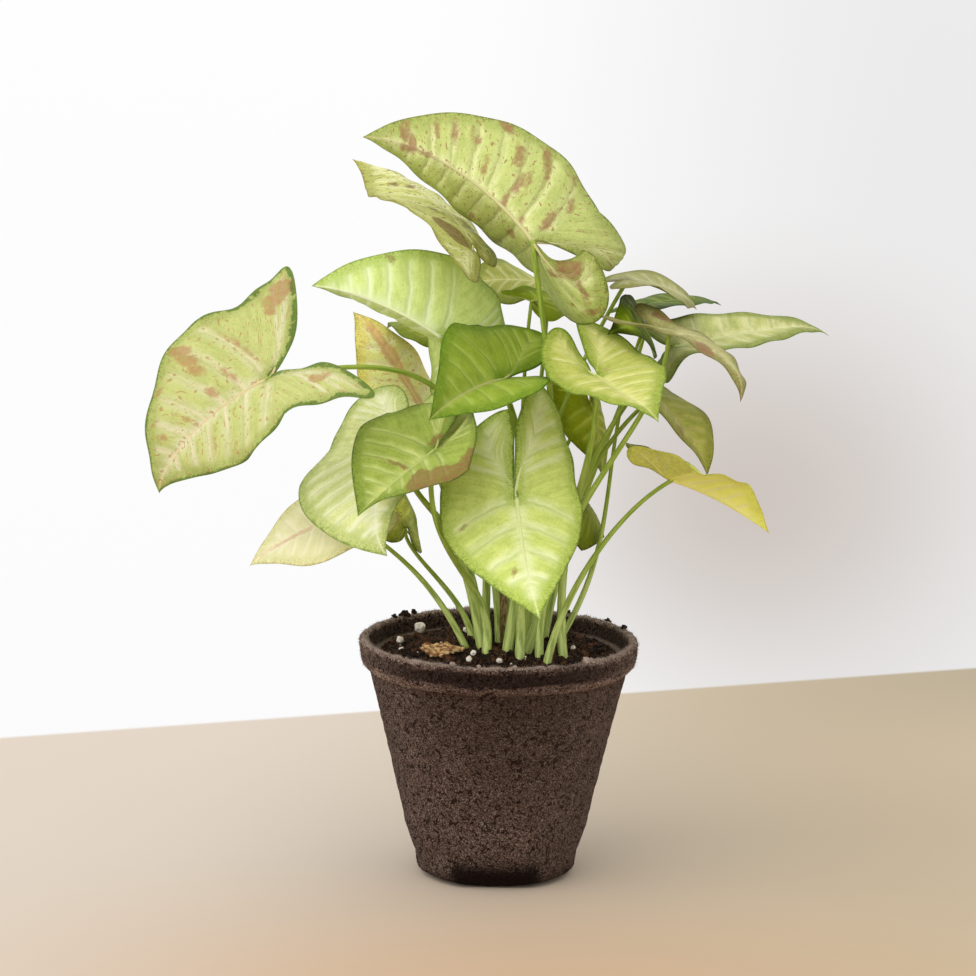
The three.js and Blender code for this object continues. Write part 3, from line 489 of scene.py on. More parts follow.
PEAT = soil_material("peat", "0c0705", "5c4433", "6b4630")
COIR = soil_material("coir_threads", "3a2217", "8a5a3c", "b08862")
PERLITE = perlite_material()
soil = soil_mound()
mark_scatter(soil, lambda p: 1.0 if p.z > SOIL_RIM and p.xy.length < SOIL_RADIUS - 1.5 else 0.0)
crumb = lump_shape("crumb_shape", 2, 0.9, 3.1)
crumbs = strewn("soil_crumbs", soil, crumb, PEAT, density=2.8e5, smallest=0.28, largest=1.05,
                tilt=3.1, seed=11)
clods = strewn("soil_clods", soil, crumb, PEAT, density=2.4e4, smallest=1.1, largest=2.4, tilt=3.1, seed=23)
coir_thread = sliver(5.5, 0.13, 2.2)
threads = strewn("soil_threads", soil, coir_thread, COIR, density=4.5e4, smallest=0.4, largest=1.0,
                 tilt=1.75, seed=5)
specks = strewn("perlite_specks", soil, crumb, PERLITE, density=1.1e4, smallest=0.25, largest=0.6,
                tilt=3.1, seed=41)
dress(soil, PEAT, "soil", "soil")
dress(crumbs, PEAT, "soil")
dress(clods, PEAT, "soil")
dress(threads, COIR, "soil")
dress(specks, PERLITE, "perlite")
for shape in (thread, crumb, coir_thread):
    bpy.data.objects.remove(shape)
CLODS = [                      # (angle round the rim, distance from the pot's middle, radius)
    (136, 57.6, 2.0), (130, 58.4, 1.3), (142, 58.2, 1.2), (108, 58.5, 1.0), (309, 58.8, 1.5),
    (313, 57.5, 0.9), (35, 58.6, 1.2), (58, 58.2, 1.0), (20, 58.0, 1.3), (251, 57.6, 1.1),
    (262, 57.9, 0.8), (277, 58.2, 0.9),
]
for count, (angle, out, radius) in enumerate(CLODS, 1):
    clod = lump_shape(f"rim_clod_{count}", 3, 0.9, 20 + count, 0.8)
    clod.data.transform(Matrix.Scale(radius, 4))
    turn = math.radians(angle)
    clod.data.transform(Matrix.Translation((out * math.cos(turn) * MM, out * math.sin(turn) * MM,
                                            (RIM_TOP + 0.3 * radius) * MM)))
    # the clods on the front of the rim are of the pot's own fibre
    dress(clod, *((FIBRE, "pot_fibre") if angle > 200 else (PEAT, "soil")))


# ==== Perlite =======================================================================================
# White grains of expanded glass mixed into the peat: eight larger ones lie on the surface, and specks
# of it are strewn over the mound. They are rounded, chipped and full of pores.
GRAINS = [                     # (x, y, radius)
    (-34.6, 36.0, 2.3), (-42.7, 10.3, 1.5), (-41.4, -6.8, 1.1), (-14.2, 23.9, 1.3),
    (-10.6, -20.8, 1.2), (-12.3, -29.4, 1.3), (0.5, -31.0, 1.2), (32.2, -3.9, 1.0),
]


for count, (x, y, radius) in enumerate(GRAINS, 1):
    grain = lump_shape(f"perlite_grain_{count}", 4, 0.32, 7 + count)
    grain.data.transform(Matrix.Scale(radius, 4))
    lowest = min(point.co.z for point in grain.data.vertices)
    grain.data.transform(Matrix.Translation((x * MM, y * MM, (soil_height(x, y) + 0.1) * MM - lowest)))
    grain.data.polygons.foreach_set("use_smooth", [True] * len(grain.data.polygons))
    dress(grain, PERLITE, "perlite", f"perlite_{count}")


# ==== Bark flake ====================================================================================
# One thin flake of bark, pointed at both ends, that lies tilted on the peat. Its face is ragged and
# fibrous, tan where it split and brown in the cracks.
FLAKE_CENTRE, FLAKE_TURN, FLAKE_RISE = (-24, -17), 6, 14
FLAKE_OUTLINE = [(-9.5, 1.2), (-5.2, -6.0), (2.9, -4.6), (9.5, 1.4), (3.3, 5.0), (-5.7, 6.0)]
FLAKE_THICKNESS = 1.6
FLAKE_ROWS = 14


def bark_flake():
    outline = np.array(FLAKE_OUTLINE)
    corners = np.vstack([outline, outline[:1]])
    rim = np.vstack([a + (b - a) * t for a, b in zip(corners[:-1], corners[1:])
                     for t in np.linspace(0, 1, 12, endpoint=False)[:, None]])
    count = len(rim)
    turn, rise = math.radians(FLAKE_TURN), math.radians(FLAKE_RISE)
    points = []
    for side in (1, -1):
        for i in range(FLAKE_ROWS):
            share = 1 - i / FLAKE_ROWS
            for x, y in rim * share:
                ragged = 1 + (0.22 * rough((x, y, 0), 1.6, 4) if i < 3 else 0)
                lift = 0.9 * rough((x, y * 2.2, side), 2.4, 9) + 0.5 * math.sin(x * 0.6)
                height = side * (0.5 * FLAKE_THICKNESS - 0.35 * share) + lift
                points.append((x * ragged, y * ragged, height))
        points.append((0, 0, side * 0.5 * FLAKE_THICKNESS))
    faces = []
    half = FLAKE_ROWS * count + 1
    for low, flip in ((0, False), (half, True)):
        for i in range(FLAKE_ROWS - 1):
            for k in range(count):
                a, b = low + i * count + k, low + i * count + (k + 1) % count
                face = (a, b, b + count, a + count)
                faces.append(face[::-1] if flip else face)
        inner = low + (FLAKE_ROWS - 1) * count
        for k in range(count):
            face = (inner + k, inner + (k + 1) % count, low + half - 1)
            faces.append(face[::-1] if flip else face)
    faces += [(k, k + half, (k + 1) % count + half, (k + 1) % count) for k in range(count)]
    tilt = Matrix.Rotation(turn, 4, "Z") @ Matrix.Rotation(rise, 4, "X")
    placed = [tilt @ Vector(point) for point in points]
    lift = max(soil_height(p.x + FLAKE_CENTRE[0], p.y + FLAKE_CENTRE[1]) - p.z for p in placed)
    placed = [(p.x + FLAKE_CENTRE[0], p.y + FLAKE_CENTRE[1], p.z + lift + 0.1) for p in placed]
    return mesh_piece("bark_flake", placed, faces)


def bark_material(name, pale, dark, length_scale):
    """Dry plant matter with fibres along its length."""
    material, shader, place = plain_material(name, 0.85)
    fibre = cloudy(stretched(place, length_scale), 1.0, 5.0)
    grain = felted(place, 0.7, 1.1, 5.0)
    dry = blend(ease(fibre, 0.38, 0.62), tint(dark), tint(pale))
    fill(shader, {"Base Color": blend(times(grain["Pit"], 0.6), dry, tint(dark))})
    bump(shader, plus(fibre, grain["Speck"]), 0.7, 0.0004)
    return material


flake = bark_flake()
dress(flake, bark_material("bark", "ecc48c", "86502a", (420, 620, 600)), "dry_matter", "bark_chip")


# ==== Dry sheath ====================================================================================
# The brown papery sheath left by an old leaf: a gutter-shaped strip among the stalks, narrowing to a
# ragged top, with its fibres running up it.
SHEATH_FOOT, SHEATH_LEAN = (3, -3), (-0.05, -0.2)
SHEATH_HEIGHT, SHEATH_DEPTH = 42, 5
SHEATH_WIDTH, SHEATH_BOW, SHEATH_THICKNESS = 4.2, 1.2, 0.45
SHEATH_ROWS, SHEATH_COLUMNS = 40, 12


def dry_sheath():
    rise = Vector((*SHEATH_LEAN, 1)).normalized()
    foot = Vector((*SHEATH_FOOT, soil_height(*SHEATH_FOOT)))
    points = []
    for side in (1, -1):
        for i in range(SHEATH_ROWS):
            t = i / (SHEATH_ROWS - 1)
            for k in range(SHEATH_COLUMNS):
                u = k / (SHEATH_COLUMNS - 1) - 0.5
                ragged = 1.6 * rough((k * 2.0, 0, 3), 3, 8) * (1 if i == SHEATH_ROWS - 1 else 0)
                centre = foot + rise * (-SHEATH_DEPTH + (SHEATH_HEIGHT + SHEATH_DEPTH) * t + ragged)
                width = SHEATH_WIDTH * (1 - 0.75 * t * t)
                hollow = SHEATH_BOW * (1 - 4 * u * u) * (1 - 0.5 * t) - SHEATH_BOW / 2
                crumple = 0.35 * rough((u * 9, 0, t * 30), 4, 14)
                depth = hollow + crumple - side * SHEATH_THICKNESS / 2
                points.append(centre + Vector((width * u, depth, 0)))
    half = SHEATH_ROWS * SHEATH_COLUMNS
    faces = []
    for i in range(SHEATH_ROWS - 1):
        for k in range(SHEATH_COLUMNS - 1):
            a = i * SHEATH_COLUMNS + k
            b = a + SHEATH_COLUMNS
            faces += [(a, a + 1, b + 1, b), (a + half, b + half, b + 1 + half, a + 1 + half)]
    last = SHEATH_COLUMNS - 1
    for i in range(SHEATH_ROWS - 1):
        a, b = i * SHEATH_COLUMNS, (i + 1) * SHEATH_COLUMNS
        faces += [(a, b, b + half, a + half), (a + last, a + last + half, b + last + half, b + last)]
    top = half - SHEATH_COLUMNS
    for k in range(last):
        faces += [(k, k + half, k + 1 + half, k + 1),
                  (top + k, top + k + 1, top + k + 1 + half, top + k + half)]
    return mesh_piece("papery_sheath", points, faces)


sheath = dry_sheath()
paper = bark_material("papery_brown", "a89262", "6d5632", (1500, 1500, 90))
dress(sheath, paper, "dry_matter", "dry_sheath")


# ==== Leaves ========================================================================================
# Twenty-four arrow-shaped leaves, each grown in one with its stalk, which stands in the peat. A blade
# is soft and thin: a pale midrib and a rib in each back lobe, side veins that arch into a collecting
# vein near the margin, and quilted flesh between them. No two are alike in tone or spots.
CELL = 1.35                    # length of one cell of a blade's mesh
SPINE_STEPS = 60
BLADE_THICKNESS = 0.45
NOTCH_GAP = 0.8                # half the slit between the two lobes
WAIST = 0.05                   # slight narrowing above the lobes
LATERAL_SLOPE, LATERAL_CURVE, LATERAL_FAN = 0.18, 0.006, 0.4
LOBE_RIB = 0.42                # where the lobe's rib runs, as a share of the lobe's width
COLLECTING_VEIN = 4.6          # its distance from the margin
STALK_DEPTH = 6                # how far a stalk stands in the peat
STALK_TOP_RADIUS, STALK_FLARE = 1.25, 1.45
STALK_SIDES, STALK_STEPS, RIB_SIDES = 14, 44, 8
RIB_REACH, LOBE_RIB_REACH = 0.85, 0.75    # how far the raised ribs run under the blade
TIP_CROWDING, LOBE_CROWDING = 1.15, 1.6   # how much closer the rows lie towards the ends
FLAT_SPAN = 100.0              # millimetres of the flat blade to one unit of its UV map
NO_SPOT, FAR_OFF = -9.0, 30.0  # values beyond every spot, phase and vein
ABOVE, BELOW, ON_RIB, ON_STALK = 0.0, 1.0, 2.0, 3.0    # a leaf's parts, told apart in its colours

# Each leaf: joint is where the stalk meets the blade; heading, rise and roll (degrees) aim the midrib;
# pairs are (left half, right half) seen from above with the tip ahead. Folds and curls are in degrees.
# lap is how far a lobe reaches over (or, below zero, under) the other, and blunt how square its end is.
# foot to thick shape the stalk. tones are the flesh in shade, the flesh, and the pale flesh by the
# veins. laterals counts the side veins of a half blade. spots are (across, along, half width, half
# length), in millimetres on the flat blade. USUAL holds what a leaf has unless it says otherwise, and
# its ribs have the veins' colour.
USUAL = dict(notch=(1.6, 1.6), fold_lobe=(0, 0), lobe_droop=(10, 10), lap=(0, 0), blunt=(2.6, 2.6),
             reach=0.25, under=0.8, down=1, blot="8a6a4c", quilt=0.5, wave=0.4, specks=0, edge=0.2,
             laterals=6.5, spots=[])
LEAVES = [
    dict(node="leaf_crown", joint=(12.1, -20.3, 278.2), heading=144, rise=44, roll=-13, length=98,
         widest=17, half_width=(39, 39), lobe_back=(34, 27.4), lobe_out=(7, 51.3), notch=(1.8, 1),
         fold_base=(-117, 23), fold_tip=(-76, 53), fold_lobe=(30, -14.8), curl=(-14, -30), arch=36,
         droop=10, twist=-21, sweep=-16, lobe_droop=(-98, 71), foot=(9.6, -0.7), lean=(0.34, 0.23),
         lift=0.44, reach=0.12, under=0.9, down=1.5, back=0.9, thick=0.95,
         # the crown's vein tone is darker than its flesh: painted shade in the creases along its side veins
         tones=("98a454", "c0c979", "e2e5ad"), vein="9c9656", rib="cdb898", rim="5f6a2c", blot="96544c",
         quilt=1, wave=0.6, specks=0.85, edge=0.3, laterals=9.5, spots=[(8.2, 77.2, 2.5, 1.2),
         (4.2, 77, 3.5, 2), (1.2, 71.8, 4.5, 2), (-1.4, 75.5, 1.8, 3.5), (11.3, 64.7, 3, 1.2),
         (13.7, 57.7, 4, 1.5), (-0.5, 63.9, 1.2, 4), (16.6, 51.3, 2, 0.8), (15.9, 47.7, 2, 0.8),
         (7.7, 38.5, 4, 1), (28.2, 43.7, 2, 2.8), (21.5, 32.3, 4.5, 2), (29.9, 25.7, 4, 1.8),
         (25.3, 20.7, 3.5, 0.9), (11.8, 23.7, 5, 1.7), (16.2, 22.3, 3, 0.9), (1.4, 21.7, 4.5, 1.6),
         (1.9, 10.7, 1.6, 1.6), (10.8, 4.3, 5, 1.8), (25.1, 6.1, 3, 1.2), (34, 13.5, 2, 0.9),
         (-24.1, 39.3, 3, 1.8), (-22.4, 34.3, 1.8, 1), (-12.3, 13.5, 4, 2.5), (-29.3, 22.1, 2, 1),
         (-5.4, -20, 3.5, 7), (-1.5, -17.8, 3, 3), (-14.5, -21.5, 7, 1.2), (-25.5, -21.2, 1.4, 2.4),
         (-9.1, -11, 1.5, 2.5)]),
    dict(node="leaf_crown_back", joint=(-13.4, 3.6, 274), heading=118, rise=33, roll=33, length=88,
         widest=13, half_width=(42, 18), lobe_back=(33, 9), lobe_out=(22, 6), fold_base=(-8, 4),
         fold_tip=(-41, -5), fold_lobe=(14, -3), curl=(11, -10), arch=36, droop=-2, twist=-15, sweep=-7,
         lobe_droop=(21, 21), foot=(0.9, 15.9), lean=(0.28, -0.07), lift=0.48, reach=0.44, under=1.4,
         down=0.5, back=-0.4, thick=0.8, tones=("999d4b", "cacc78", "f1f0ba"), vein="c9c794",
         rim="7c7038", blot="6e2c34", quilt=0.6, wave=0.8, specks=1, edge=0.5, laterals=8,
         spots=[(-12, 1.3, 8.5, 9), (-9, 52.5, 2, 2), (-23.5, 15.3, 2, 2), (-9.5, 22.1, 2.5, 2),
         (-12.7, 11.5, 1.5, 1.5), (-4, 46.9, 2, 2)]),
    dict(node="leaf_left_high", joint=(-25.9, -14.3, 236.2), heading=-172, rise=36, roll=-73, length=65,
         widest=5, half_width=(31, 37), lobe_back=(30, 30), lobe_out=(32, 22), notch=(1.9, 1.7),
         fold_base=(-87, -4), fold_tip=(-69, 0), fold_lobe=(36, -16), curl=(-25, -20), arch=55, droop=11,
         twist=-14, sweep=-18, lobe_droop=(20, 20), foot=(0.3, 3.6), lean=(-0.04, 0.28), lift=0.25,
         reach=0.5, down=0.6, back=0.7, thick=0.85, tones=("a3b959", "d1e08b", "deeabb"), vein="eef2d4",
         rim="6f8834", quilt=0.55, wave=0.6, edge=0.8, laterals=7.5, spots=[(19.9, 33.7, 1.6, 1.6)]),
    dict(node="leaf_left_far", joint=(-98, -30.9, 220.3), heading=-173, rise=-27, roll=-27, length=73,
         widest=15, half_width=(33, 43), lobe_back=(37, 30), lobe_out=(42, 47), notch=(2.5, 2.1),
         fold_base=(13, 26), fold_tip=(-32, 30), fold_lobe=(-3, -8), curl=(-16, -14), arch=45, droop=20,
         twist=-14, sweep=4, lobe_droop=(-6, -6), foot=(-6.2, 15.4), lean=(0.04, 0.11), lift=0.68,
         reach=0.5, under=0.3, down=0, back=0.9, thick=0.8, tones=("9aa456", "bcc078", "d6d1b4"),
         vein="ecd0b4", rib="e0bc9a", rim="44641f", blot="aa7454", wave=1.3, specks=0.9, edge=2.2,
         laterals=7, spots=[(40, -23, 5, 6), (35, -17, 4, 5), (30, -14, 3, 2.5), (33, 25, 3.5, 3),
         (27, 24.5, 4, 2.6), (21, 23.7, 3.5, 2.2), (8.1, 22.9, 3, 1.8), (-18, -17.5, 2, 3),
         (-21, -21, 2, 4), (8.8, 50.8, 2, 1.4), (24.5, 41, 1, 1.6), (-12.5, 33, 4, 0.7),
         (-22.9, 24.9, 3, 0.8), (20, 4, 8, 0.8), (10, 13, 4, 1), (5.7, 37.7, 5, 0.7)]),
    dict(node="leaf_yellow_back", joint=(-32.2, 36.1, 193), heading=166, rise=59, roll=-30, length=59,
         widest=11, half_width=(30, 28), lobe_back=(26, 26), lobe_out=(16, 17), fold_base=(16, -23),
         fold_tip=(-3, 7), curl=(-10, -28), arch=23, droop=12, twist=-6, sweep=8, foot=(-8, 22),
         lean=(-0.05, 0.05), lift=0.4, reach=0.3, under=0.5, down=0.8, back=0.6, thick=0.75,
         tones=("e0d15e", "ffffb1", "ffffd5"), vein="dca97c", rim="8c8438", blot="dd9c70", quilt=0.4,
         wave=0.6, specks=1, spots=[(1, 42, 3, 8), (1, 31, 4, 9), (0, 19, 3, 8), (0, 8, 3, 6)]),
    dict(node="leaf_back_left", joint=(-22, 32.3, 231.7), heading=127, rise=7, roll=-5, length=54,
         widest=6, half_width=(20, 21), lobe_back=(10, 10), lobe_out=(8, 9), fold_base=(0, -20),
         fold_tip=(13, 9), fold_lobe=(-5, -1), curl=(-11, -23), arch=23, droop=13, twist=-2, sweep=4,
         lobe_droop=(13, 13), foot=(1, 24), lean=(-0.1, 0.05), lift=0.45, back=0.2, thick=0.65,
         tones=("707e0f", "849219", "b3b549"), vein="c2c884", rim="4d5f18", specks=0.1),
    dict(node="leaf_left_near", joint=(-27.9, -50.7, 194.3), heading=-154, rise=-33, roll=-18, length=43,
         widest=11, half_width=(32, 35), lobe_back=(24, 23), lobe_out=(11, 23), notch=(1.9, 1.8),
         lap=(0, 2), blunt=(2.6, 5), fold_base=(20, 16), fold_tip=(32, 27), fold_lobe=(27, -31),
         curl=(-19, -18), arch=2, droop=8, twist=4, sweep=-5, lobe_droop=(-22, -22), foot=(-5.4, -16),
         lean=(0.15, 0.57), lift=0.36, reach=0.48, under=0.1, back=-0.3, thick=0.9,
         tones=("71852c", "9dac4e", "cdd283"), vein="bcc980", rim="4a5a22", blot="88523e", quilt=0.9,
         wave=0.6, specks=0.05, edge=1, laterals=7, spots=[(-25, 13, 7.5, 7.5), (-28, 4, 6, 6.5),
         (-29, -4, 4.5, 5), (-18, 18, 6, 5.5), (-12, 15, 2.2, 3), (5, 15, 6, 0.9), (3.1, -4.3, 2, 3),
         (-2.8, -3.9, 1.5, 1.5)]),
    dict(node="leaf_left_low", joint=(-44.4, -19.2, 193.1), heading=-124, rise=-38, roll=44, length=60,
         widest=16, half_width=(29, 45), lobe_back=(33, 34), lobe_out=(19, 21), fold_base=(-41, 26),
         fold_tip=(-2, 41), fold_lobe=(-1, 5), curl=(-14, 1), arch=42, droop=20, twist=-2, sweep=-13,
         lobe_droop=(-20, -20), foot=(-7.4, -6.8), lean=(-0.17, 0.17), lift=0.72, reach=0.42, under=0.6,
         down=1.5, back=-0.1, thick=0.95, tones=("abb863", "e3e8a4", "fdffde"), vein="eef2d8",
         rim="668038", wave=0.5, edge=0.7, laterals=8),
    dict(node="leaf_left_bottom", joint=(-66.1, -11.9, 159), heading=174, rise=-22, roll=-27, length=48,
         widest=9, half_width=(27, 28), lobe_back=(24, 24), lobe_out=(14, 14), fold_base=(10, 6),
         fold_tip=(1, 7), fold_lobe=(1, 0), curl=(-20, -11), arch=14, droop=10, twist=-3, sweep=-4,
         foot=(-14.5, -5), lean=(-0.47, -0.04), lift=0.51, reach=0.24, under=0.6, down=0.9, back=1,
         thick=0.66, tones=("d5d499", "eae5b9", "f4efd0"), vein="ecd8b8", rim="a89a5c", blot="dcae94",
         quilt=0.3, wave=0.5, spots=[(0, 24, 1.2, 14)]),
    dict(node="leaf_torn", joint=(-40.8, 8.1, 149.8), heading=150, rise=62, roll=-6, length=29, widest=7,
         half_width=(17, 17), lobe_back=(5, 13), lobe_out=(8, 9), fold_base=(6, -15), fold_tip=(5, 13),
         fold_lobe=(4, 0), curl=(-13, -18), arch=16, droop=8, twist=-4, sweep=1, lobe_droop=(9, 9),
         foot=(-11.7, 9.6), lean=(-0.16, 0.58), lift=0.38, reach=0.21, under=1, down=0.8, back=0.8,
         thick=0.66, tones=("8c9731", "c9cf57", "ffff90"), vein="b2b878", rim="35420f", blot="6a5034",
         quilt=0.4, wave=0.9, specks=0.6),
    dict(node="leaf_centre", joint=(-0.5, -33.5, 221.4), heading=-129, rise=0, roll=-31, length=48,
         widest=5, half_width=(28, 31), lobe_back=(20, 42), lobe_out=(10, 17), notch=(2.2, 2.2),
         lap=(0, 2), blunt=(2.6, 6), fold_base=(39, 30), fold_tip=(14, 37), fold_lobe=(-18, -31),
         curl=(-3, -27), arch=22, droop=9, twist=-12, sweep=-14, lobe_droop=(-25, -25), foot=(3.6, -13),
         lean=(0.15, 0.32), lift=0.81, reach=0.12, under=1.3, down=0.2, back=1, thick=1,
         tones=("66821c", "90a339", "a6b451"), vein="9db462", rib="c4b88c", rim="42661a", quilt=0.7,
         wave=0.5, edge=0.6, laterals=5.5),
    dict(node="leaf_front", joint=(6.7, -47.7, 173.9), heading=-80, rise=-55, roll=2, length=59, widest=2,
         half_width=(31, 35), lobe_back=(54, 41), lobe_out=(19, 2), notch=(3.4, 3.2), lap=(5, -3),
         blunt=(2.6, 3.4), fold_base=(-4, -13), fold_tip=(-5, -4), fold_lobe=(-21, -23), curl=(-25, -18),
         arch=-17, droop=2, twist=0, sweep=-7, lobe_droop=(-8, -8), foot=(9, -21), lean=(0.05, 0.05),
         lift=0.5, under=1, down=0.7, back=0.1, thick=1, tones=("a2b74b", "d6e27f", "edf2c3"),
         vein="e6eab8", rim="5a7826", blot="9a6858", quilt=0.6, wave=0.5, specks=0.05, edge=0.6,
         laterals=5, spots=[(5.5, 33.7, 1.2, 1.4), (23.6, 8.9, 1, 1)]),
    dict(node="leaf_right_near", joint=(39.7, -46.9, 225.9), heading=-72, rise=-5, roll=-2, length=63,
         widest=5, half_width=(27, 22), lobe_back=(40, 35), lobe_out=(3, 8), notch=(1.7, 1.5),
         fold_base=(21, 8), fold_tip=(14, 4), fold_lobe=(-9, 4), curl=(-13, -24), arch=1, droop=21,
         twist=5, sweep=-8, lobe_droop=(-48, -48), foot=(12, -14), lean=(0.34, 0.15), lift=0.71,
         reach=0.15, under=0.7, down=1.2, back=0.1, thick=0.9, tones=("849530", "bdbf63", "dad590"),
         vein="cdd68c", rim="54761e", blot="c08a78", quilt=0.7, wave=0.7, edge=0.5, laterals=6,
         spots=[(-4.8, -2.9, 1.2, 1.2)]),
    dict(node="leaf_right_far", joint=(74, 19.1, 228.4), heading=26, rise=9, roll=15, length=82, widest=8,
         half_width=(26, 22), lobe_back=(7, 20), lobe_out=(17, 32), notch=(1.6, 2), fold_base=(8, 19),
         fold_tip=(6, 0), fold_lobe=(18, -2), curl=(-14, -6), arch=11, droop=34, twist=6, sweep=-4,
         lobe_droop=(25, 25), foot=(27.5, -15.5), lean=(-0.1, 0.19), lift=0.48, under=0.3, down=0.6,
         back=1.3, thick=0.85, tones=("717b2f", "b5b971", "d5d19d"), vein="c8ce98", rim="4c6a1c",
         wave=0.5, edge=0.6),
    dict(node="leaf_right_blade", joint=(69.4, -20.5, 241.8), heading=-31, rise=-4, roll=-35, length=57,
         widest=6, half_width=(20, 18), lobe_back=(28, 26), lobe_out=(20, 16), notch=(1.7, 1.6),
         fold_base=(28, -24), fold_tip=(-6, -28), fold_lobe=(19, 0), curl=(1, -3), arch=54, droop=32,
         twist=1, sweep=6, lobe_droop=(-4, -4), foot=(17.3, -20.8), lean=(-0.04, 0.05), lift=0.43,
         reach=0.26, under=0.5, down=0.8, back=-0.3, thick=0.8, tones=("7c7b38", "a4a063", "c8c784"),
         vein="b8a67e", rim="6a5a3c", blot="8e5c4c", quilt=0.4, wave=0.7, specks=0.8,
         spots=[(-17, -13, 3, 5), (8, 26, 4, 6)]),
    dict(node="leaf_right_top", joint=(53.1, 13.2, 258.2), heading=38, rise=-6, roll=18, length=48,
         widest=7, half_width=(21, 22), lobe_back=(14, 16), lobe_out=(13, 12), fold_base=(-23, 16),
         fold_tip=(20, -11), fold_lobe=(-1, 8), curl=(-12, -2), arch=29, droop=15, twist=20, sweep=-3,
         lobe_droop=(28, 28), foot=(14.4, 12.1), lean=(-0.57, 0.68), lift=0.16, reach=0.5, down=0.7,
         back=0.8, thick=0.7, tones=("777e36", "a1a064", "bcb889"), vein="cdc6a0", rim="7a6644",
         blot="8f6650", specks=0.35),
    dict(node="leaf_right_top_back", joint=(64.4, 57.6, 241.6), heading=45, rise=5, roll=2, length=49,
         widest=6, half_width=(20, 20), lobe_back=(14, 14), lobe_out=(11, 11), fold_base=(-5, 11),
         fold_tip=(13, 2), fold_lobe=(0, 4), curl=(-17, -10), arch=20, droop=9, twist=6, sweep=-2,
         lobe_droop=(9, 9), foot=(20, 18), lean=(0.15, 0.1), lift=0.4, back=0.3, thick=0.7,
         tones=("435805", "506408", "6b7b13"), vein="b0ba68", rim="3f560c", specks=0.1),
    dict(node="leaf_right_dark", joint=(60.7, 16.8, 238.1), heading=-101, rise=12, roll=-46, length=46,
         widest=2, half_width=(16, 16), lobe_back=(9, 9), lobe_out=(8, 7), notch=(1.6, 1.5),
         fold_base=(-13, 12), fold_tip=(23, 9), fold_lobe=(-3, 16), curl=(-20, -5), arch=26, droop=14,
         twist=5, sweep=2, lobe_droop=(23, 23), foot=(24.1, -2.4), lean=(0.62, 0.08), lift=0.41,
         reach=0.47, back=0.3, thick=0.6, tones=("526605", "768e09", "a9c019"), vein="98a45a",
         rim="2c3a08", blot="6a5034", specks=0.1),
    dict(node="leaf_right_low", joint=(65.7, 10.5, 208.5), heading=-23, rise=-34, roll=-4, length=42,
         widest=9, half_width=(26, 24), lobe_back=(22, 22), lobe_out=(14, 14), fold_base=(1, 12),
         fold_tip=(24, 12), curl=(-9, -9), arch=34, droop=10, twist=7, sweep=2, foot=(14.4, -5.2),
         lean=(0.17, -0.08), lift=0.53, reach=0.23, under=0.6, back=1, thick=0.75,
         tones=("85872d", "a2a547", "bdc060"), vein="c09a74", rim="5a5024", blot="8f6650", quilt=0.4,
         wave=0.5, specks=0.3, spots=[(12.7, 20, 2, 3)]),
    dict(node="leaf_right_yellow", joint=(73.8, -0.3, 174), heading=29, rise=-20, roll=0, length=55,
         widest=10, half_width=(19, 24), lobe_back=(23, 31), lobe_out=(11, 9), notch=(1.4, 1.4),
         fold_base=(34, 25), fold_tip=(40, 52), fold_lobe=(1, 20), curl=(-10, -20), arch=19, droop=-1,
         twist=-5, sweep=7, lobe_droop=(-13, -2), foot=(20.6, -27.7), lean=(0.19, -0.05), lift=0.36,
         reach=0.28, under=0.4, down=0.5, back=1.2, thick=0.75, tones=("d8e558", "ffff87", "ffffc6"),
         vein="e2d698", rim="80762c", blot="4f5c1c", quilt=0.4, wave=0.9, specks=0.2,
         spots=[(-10, -16, 20, 15), (11, -17, 20, 15)]),
    dict(node="leaf_low_right", joint=(35.9, 13.9, 160), heading=4, rise=-48, roll=24, length=18,
         widest=12, half_width=(14, 19), lobe_back=(12, 12), lobe_out=(8, 8), fold_base=(-7, -10),
         fold_tip=(-10, -5), curl=(-24, -23), arch=21, droop=7, twist=-3, sweep=-6, foot=(27, 6),
         lean=(0.1, 0), lift=0.4, reach=0.3, under=0.6, down=0.8, back=0.5, thick=0.6,
         tones=("687614", "778618", "939b30"), vein="8f9252", rim="3c4210", blot="6a5034", quilt=0.3,
         specks=0.4),
    dict(node="leaf_back_top", joint=(19.5, 57.4, 249.8), heading=-177, rise=13, roll=-15, length=38,
         widest=14, half_width=(26, 28), lobe_back=(14, 12), lobe_out=(11, 14), fold_base=(18, -20),
         fold_tip=(-3, 18), curl=(-13, -18), arch=30, droop=10, twist=-12, sweep=-3, lobe_droop=(7, 7),
         foot=(10, 18), lean=(0, 0.1), lift=0.45, back=0.2, thick=0.7,
         tones=("738025", "9c9e4a", "bfbd6f"), vein="dcd8b0", rim="5a6a24", blot="8f6650", specks=0.2),
    dict(node="leaf_back_centre", joint=(12.3, 30.1, 246.5), heading=-60, rise=16, roll=-24, length=40,
         widest=9, half_width=(18, 11), lobe_back=(10, 8), lobe_out=(11, 10), fold_base=(0, 13),
         fold_tip=(-3, 15), fold_lobe=(-5, 1), curl=(-8, -15), arch=28, droop=6, twist=-1, sweep=-2,
         lobe_droop=(19, 19), foot=(9, 8), lean=(0, 0.1), lift=0.45, back=0.1, thick=0.65,
         tones=("718d0e", "a2ba2d", "dff657"), vein="cfd08c", rim="465c10", blot="b0705c", quilt=0.4,
         specks=0.2),
    dict(node="leaf_back_low", joint=(38.9, 24, 202.2), heading=-35, rise=-70, roll=-8, length=33,
         widest=10, half_width=(19, 21), lobe_back=(18, 18), lobe_out=(12, 12), fold_base=(-6, -15),
         fold_tip=(-2, 10), curl=(-19, -24), arch=14, droop=11, twist=-6, sweep=0, foot=(12, 27),
         lean=(0.1, 0.1), lift=0.45, reach=0.3, back=0.2, thick=0.65,
         tones=("7c8a0c", "9da922", "d5e04a"), vein="b4b868", rim="3c4c08", blot="6a5034", specks=0.1),
]


